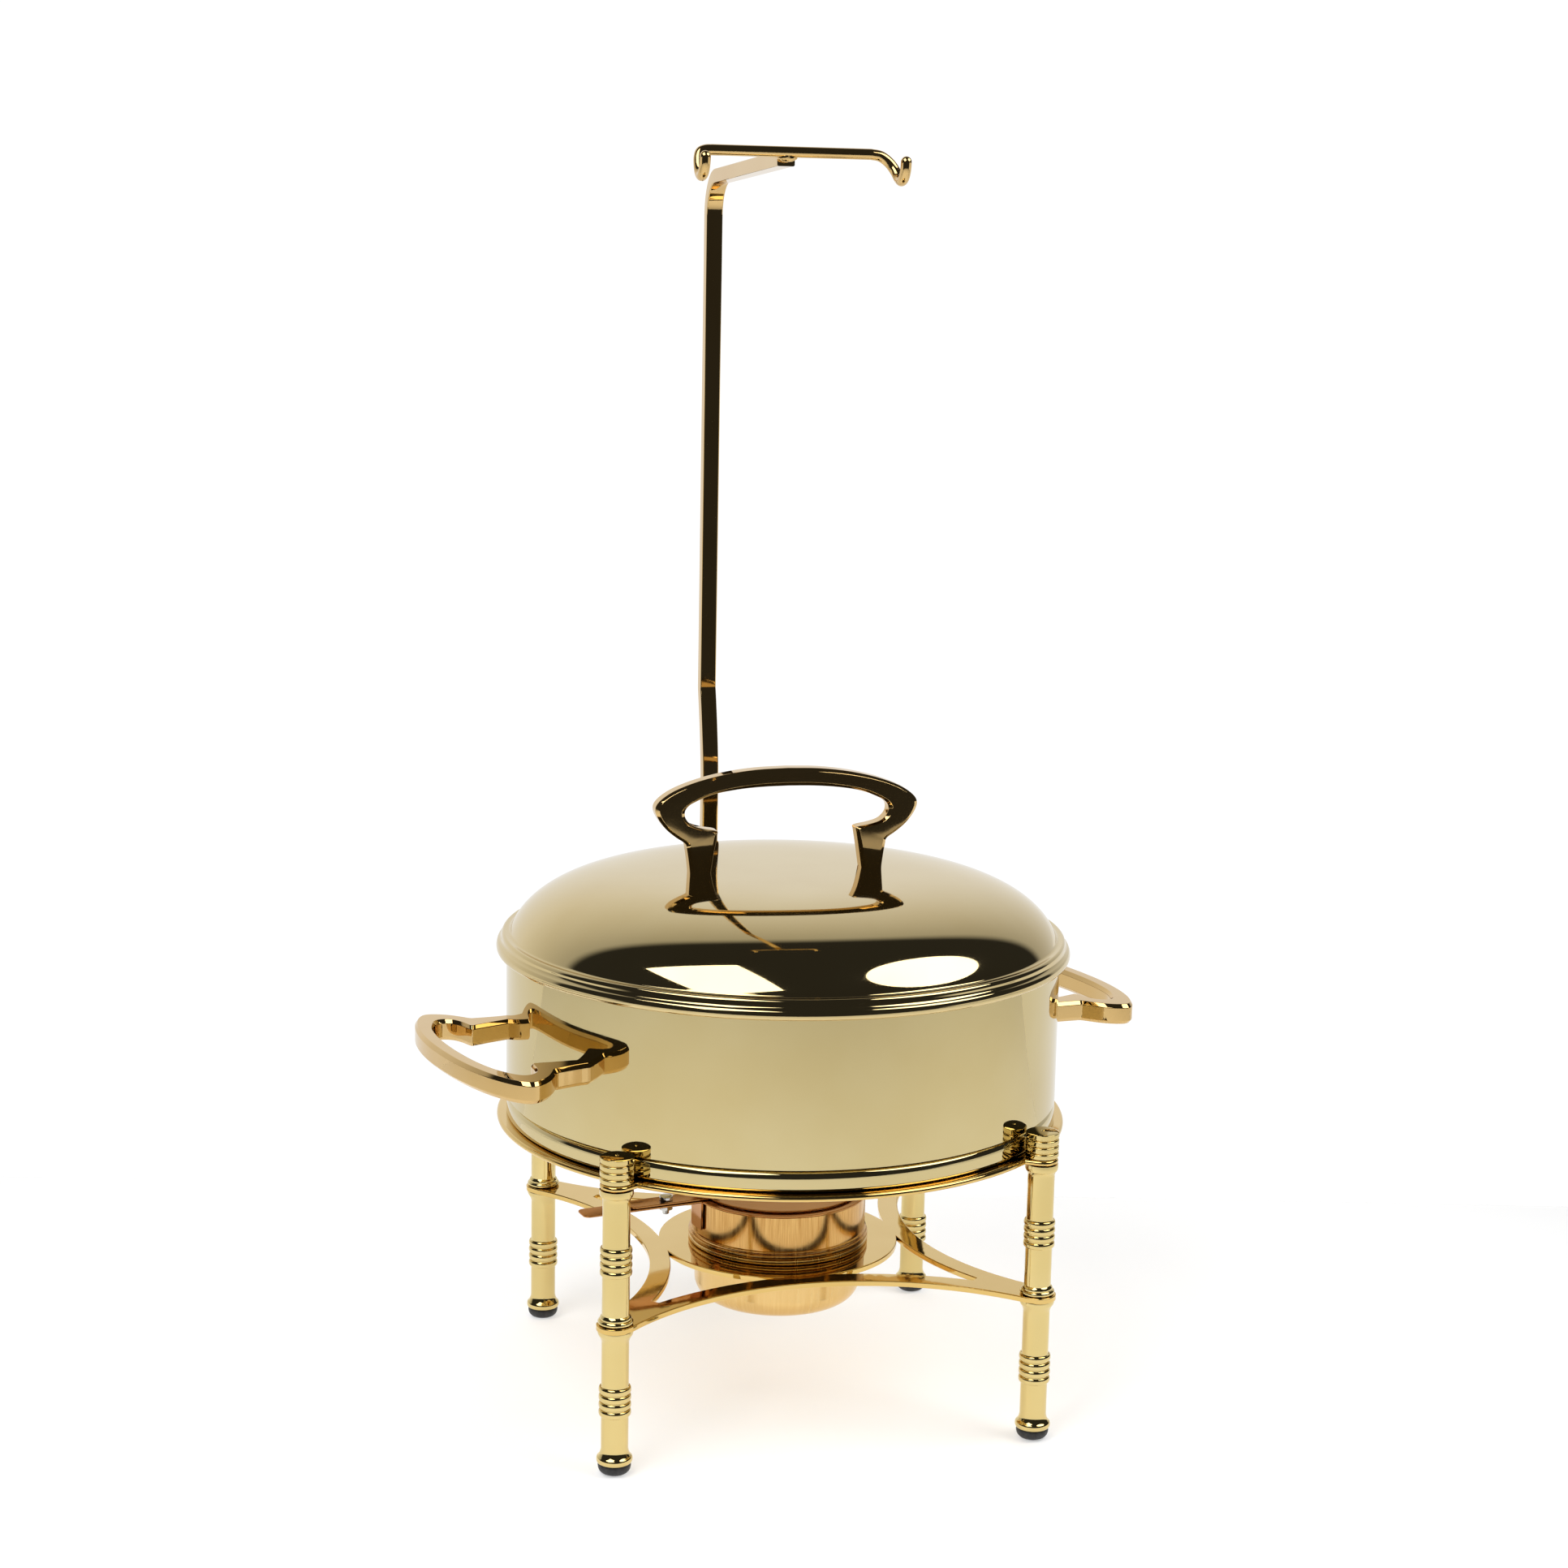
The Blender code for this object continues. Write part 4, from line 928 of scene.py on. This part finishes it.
# ---- stage --------------------------------------------------------------------------------
FLOOR_HALF = 2.0                      # the floor sheet's reach to each side
FLOOR_FRONT = 1.67                    # in front, where its outline is half an ellipse
FLOOR_BACK = 0.36                     # and behind
FLOOR_LAMP_POWER = 352.0
FLOOR_LAMP_CONE = 56.0
FLOOR_LAMP_BLEND = 0.75
FLOOR_LAMP_SIZE = 1.2
FLOOR_LAMP_AHEAD = -0.15
FLOOR_LAMP_LEFT = 0.20
FLOOR_LAMP_HEIGHT = 3.2
WALL = 0.90                           # brightness of the pale wall behind, at its fullest
WALL_LOW = 0.50                       # and at its edge
WALL_FULL = 0.90                      # how squarely a direction faces the wall's middle there
WALL_POLE = (0.958, -0.280, -0.067)   # the wall's middle: share behind, to the right, up
WALL_EDGE = (0.36, 0.47)
ROOM = 0.030                          # brightness of the dark room overhead and in front
HORIZON = (0.0, -0.05)                # heights between which the ground beyond the floor fades in
GROUND_EDGE = (-0.50, -0.25)          # and how far round to the front it reaches
BACKDROP = 1.05                       # brightness seen directly behind the object
SOFTBOX_AIM_Z = 0.30
SOFTBOXES = (
    # name, shape, azimuth from the camera, elevation, distance, width, height, roll, power
    ("softbox_left", "RECTANGLE", -34.1, 49.4, 1.72, 1.35, 1.00, -44.0, 15.0),
    ("softbox_right", "ELLIPSE", 76.6, 45.3, 1.70, 1.38, 1.14, 0.0, 14.0),
)


def build_stage():
    """A plain pale floor, soft light and the camera."""
    forward = Vector((0.24250824, 0.9535065, -0.17892768))
    right = Vector((0.96981335, -0.24311905, 0.01884635))
    up = Vector((0.02553061, 0.17809685, 0.98368171))
    eye = Vector((-0.42078, -1.64861, 0.68909)) + AXIS
    back = Vector((forward.x, forward.y, 0)).normalized()
    side = Vector((back.y, -back.x, 0))

    corners = [(FLOOR_HALF * math.cos(math.radians(turn)), FLOOR_FRONT * math.sin(math.radians(turn)))
               for turn in range(-180, 1, 3)]
    corners += [(FLOOR_HALF, FLOOR_BACK), (-FLOOR_HALF, FLOOR_BACK)]
    sheet = bmesh.new()
    sheet.faces.new([sheet.verts.new(side * x + back * y) for x, y in corners])
    floor_mesh = bpy.data.meshes.new("floor")
    sheet.to_mesh(floor_mesh)
    sheet.free()
    floor = bpy.data.objects.new("floor", floor_mesh)
    floor.location = (AXIS.x, AXIS.y, cad_box[0][2] - 0.0002)
    bpy.context.scene.collection.objects.link(floor)
    made, nodes, shader = new_material("pale_floor")
    shader.inputs["Base Color"].default_value = (0.86, 0.86, 0.86, 1.0)
    shader.inputs["Roughness"].default_value = 0.9
    shader.inputs["Specular IOR Level"].default_value = 0.0
    floor_mesh.materials.append(made)

    camera_data = bpy.data.cameras.new("camera")
    camera_data.sensor_width = 36.0
    camera_data.lens = 65.03
    camera_data.clip_end = 50.0
    camera = bpy.data.objects.new("camera", camera_data)
    turn = Matrix((right, up, -forward)).transposed()
    camera.matrix_world = Matrix.Translation(eye) @ turn.to_4x4()
    bpy.context.scene.collection.objects.link(camera)
    bpy.context.scene.camera = camera

    for name, shape, azimuth, elevation, distance, width, height, roll, power in SOFTBOXES:
        turn = math.radians(azimuth)
        lift = math.radians(elevation)
        away = (-back * math.cos(turn) + side * math.sin(turn)) * math.cos(lift)
        away.z = math.sin(lift)
        data = bpy.data.lights.new(name, "AREA")
        data.shape = shape
        data.size = width
        data.size_y = height
        data.energy = power
        lamp = bpy.data.objects.new(name, data)
        facing = (-away).to_track_quat("-Z", "Y").to_matrix() @ Matrix.Rotation(math.radians(roll), 3, "Z")
        aim = AXIS + Vector((0, 0, SOFTBOX_AIM_Z))
        lamp.matrix_world = Matrix.Translation(aim + away * distance) @ facing.to_4x4()
        bpy.context.scene.collection.objects.link(lamp)

    data = bpy.data.lights.new("floor_lamp", "SPOT")
    data.energy = FLOOR_LAMP_POWER
    data.shadow_soft_size = FLOOR_LAMP_SIZE
    data.use_shadow = False
    data.spot_size = math.radians(FLOOR_LAMP_CONE)
    data.spot_blend = FLOOR_LAMP_BLEND
    lamp = bpy.data.objects.new("floor_lamp", data)
    lamp.location = AXIS - back * FLOOR_LAMP_AHEAD - side * FLOOR_LAMP_LEFT
    lamp.location.z += FLOOR_LAMP_HEIGHT
    lamp.visible_glossy = False
    bpy.context.scene.collection.objects.link(lamp)

    world = bpy.data.worlds.new("studio")
    bpy.context.scene.world = world
    world.use_nodes = True
    world.node_tree.nodes.clear()
    nodes = Nodes(world.node_tree)
    direction = nodes.add("ShaderNodeTexCoord").outputs["Generated"]
    pole = back * WALL_POLE[0] + side * WALL_POLE[1] + Vector((0, 0, WALL_POLE[2]))
    facing = nodes.add("ShaderNodeVectorMath", {1: pole}, {0: direction},
                       operation="DOT_PRODUCT").outputs["Value"]
    inside = nodes.add("ShaderNodeMapRange", {"From Min": WALL_EDGE[0], "From Max": WALL_EDGE[1]},
                       {"Value": facing}, interpolation_type="SMOOTHSTEP").outputs["Result"]
    graded = nodes.add("ShaderNodeMapRange", {"From Min": WALL_EDGE[1], "From Max": WALL_FULL,
                                              "To Min": WALL_LOW, "To Max": WALL},
                       {"Value": facing}).outputs["Result"]
    wall = nodes.add("ShaderNodeMath", links={0: inside, 1: graded}, operation="MULTIPLY").outputs["Value"]
    height = nodes.add("ShaderNodeSeparateXYZ", links={"Vector": direction}).outputs["Z"]
    below = nodes.add("ShaderNodeMapRange", {"From Min": HORIZON[0], "From Max": HORIZON[1]},
                      {"Value": height}, interpolation_type="SMOOTHSTEP").outputs["Result"]
    rear = nodes.add("ShaderNodeVectorMath", {1: back}, {0: direction},
                     operation="DOT_PRODUCT").outputs["Value"]
    beyond = nodes.add("ShaderNodeMapRange", {"From Min": GROUND_EDGE[0], "From Max": GROUND_EDGE[1],
                                              "To Max": WALL},
                       {"Value": rear}, interpolation_type="SMOOTHSTEP").outputs["Result"]
    ground = nodes.add("ShaderNodeMath", links={0: below, 1: beyond}, operation="MULTIPLY").outputs["Value"]
    paler = nodes.add("ShaderNodeMath", links={0: wall, 1: ground}, operation="MAXIMUM").outputs["Value"]
    bright = nodes.add("ShaderNodeMath", {1: ROOM}, {0: paler}, operation="ADD").outputs["Value"]
    shown = nodes.add("ShaderNodeLightPath").outputs["Is Camera Ray"]
    strength = nodes.add("ShaderNodeMix", {"B": BACKDROP}, {"Factor": shown, "A": bright}).outputs["Result"]
    light = nodes.add("ShaderNodeBackground", {"Color": (1.0, 1.0, 1.0, 1.0)}, {"Strength": strength})
    output = nodes.add("ShaderNodeOutputWorld")
    world.node_tree.links.new(light.outputs[0], output.inputs["Surface"])

    settings = bpy.context.scene.view_settings
    settings.view_transform = "Standard"
    settings.look = "None"


# ---- CAD nodes that stay ------------------------------------------------------------------
def dress_cad():
    """Give every CAD node that stays in view a worked material."""
    looks = {"polished_gold": cast_gold, "polished_steel": steel_bright, "copper_gold": strip_copper,
             "black_rubber": rubber}
    slots = {entry["node"]: entry["material_slot"] for entry in frame["record"]["subparts"]}
    for name, node in frame["nodes"].items():
        look = tin_steel if name == "fuel_tin" else looks[slots[name]]
        for slot in node.material_slots:
            slot.material = look


dress_cad()
for leg_name in LEG_SIGNS:
    build_leg(leg_name)
build_lower_plate()
build_upper_ring()
build_post()
build_hanger()
build_handles()
build_water_pan()
build_food_pan()
build_lid()
build_burner()
build_fixings()
build_stage()
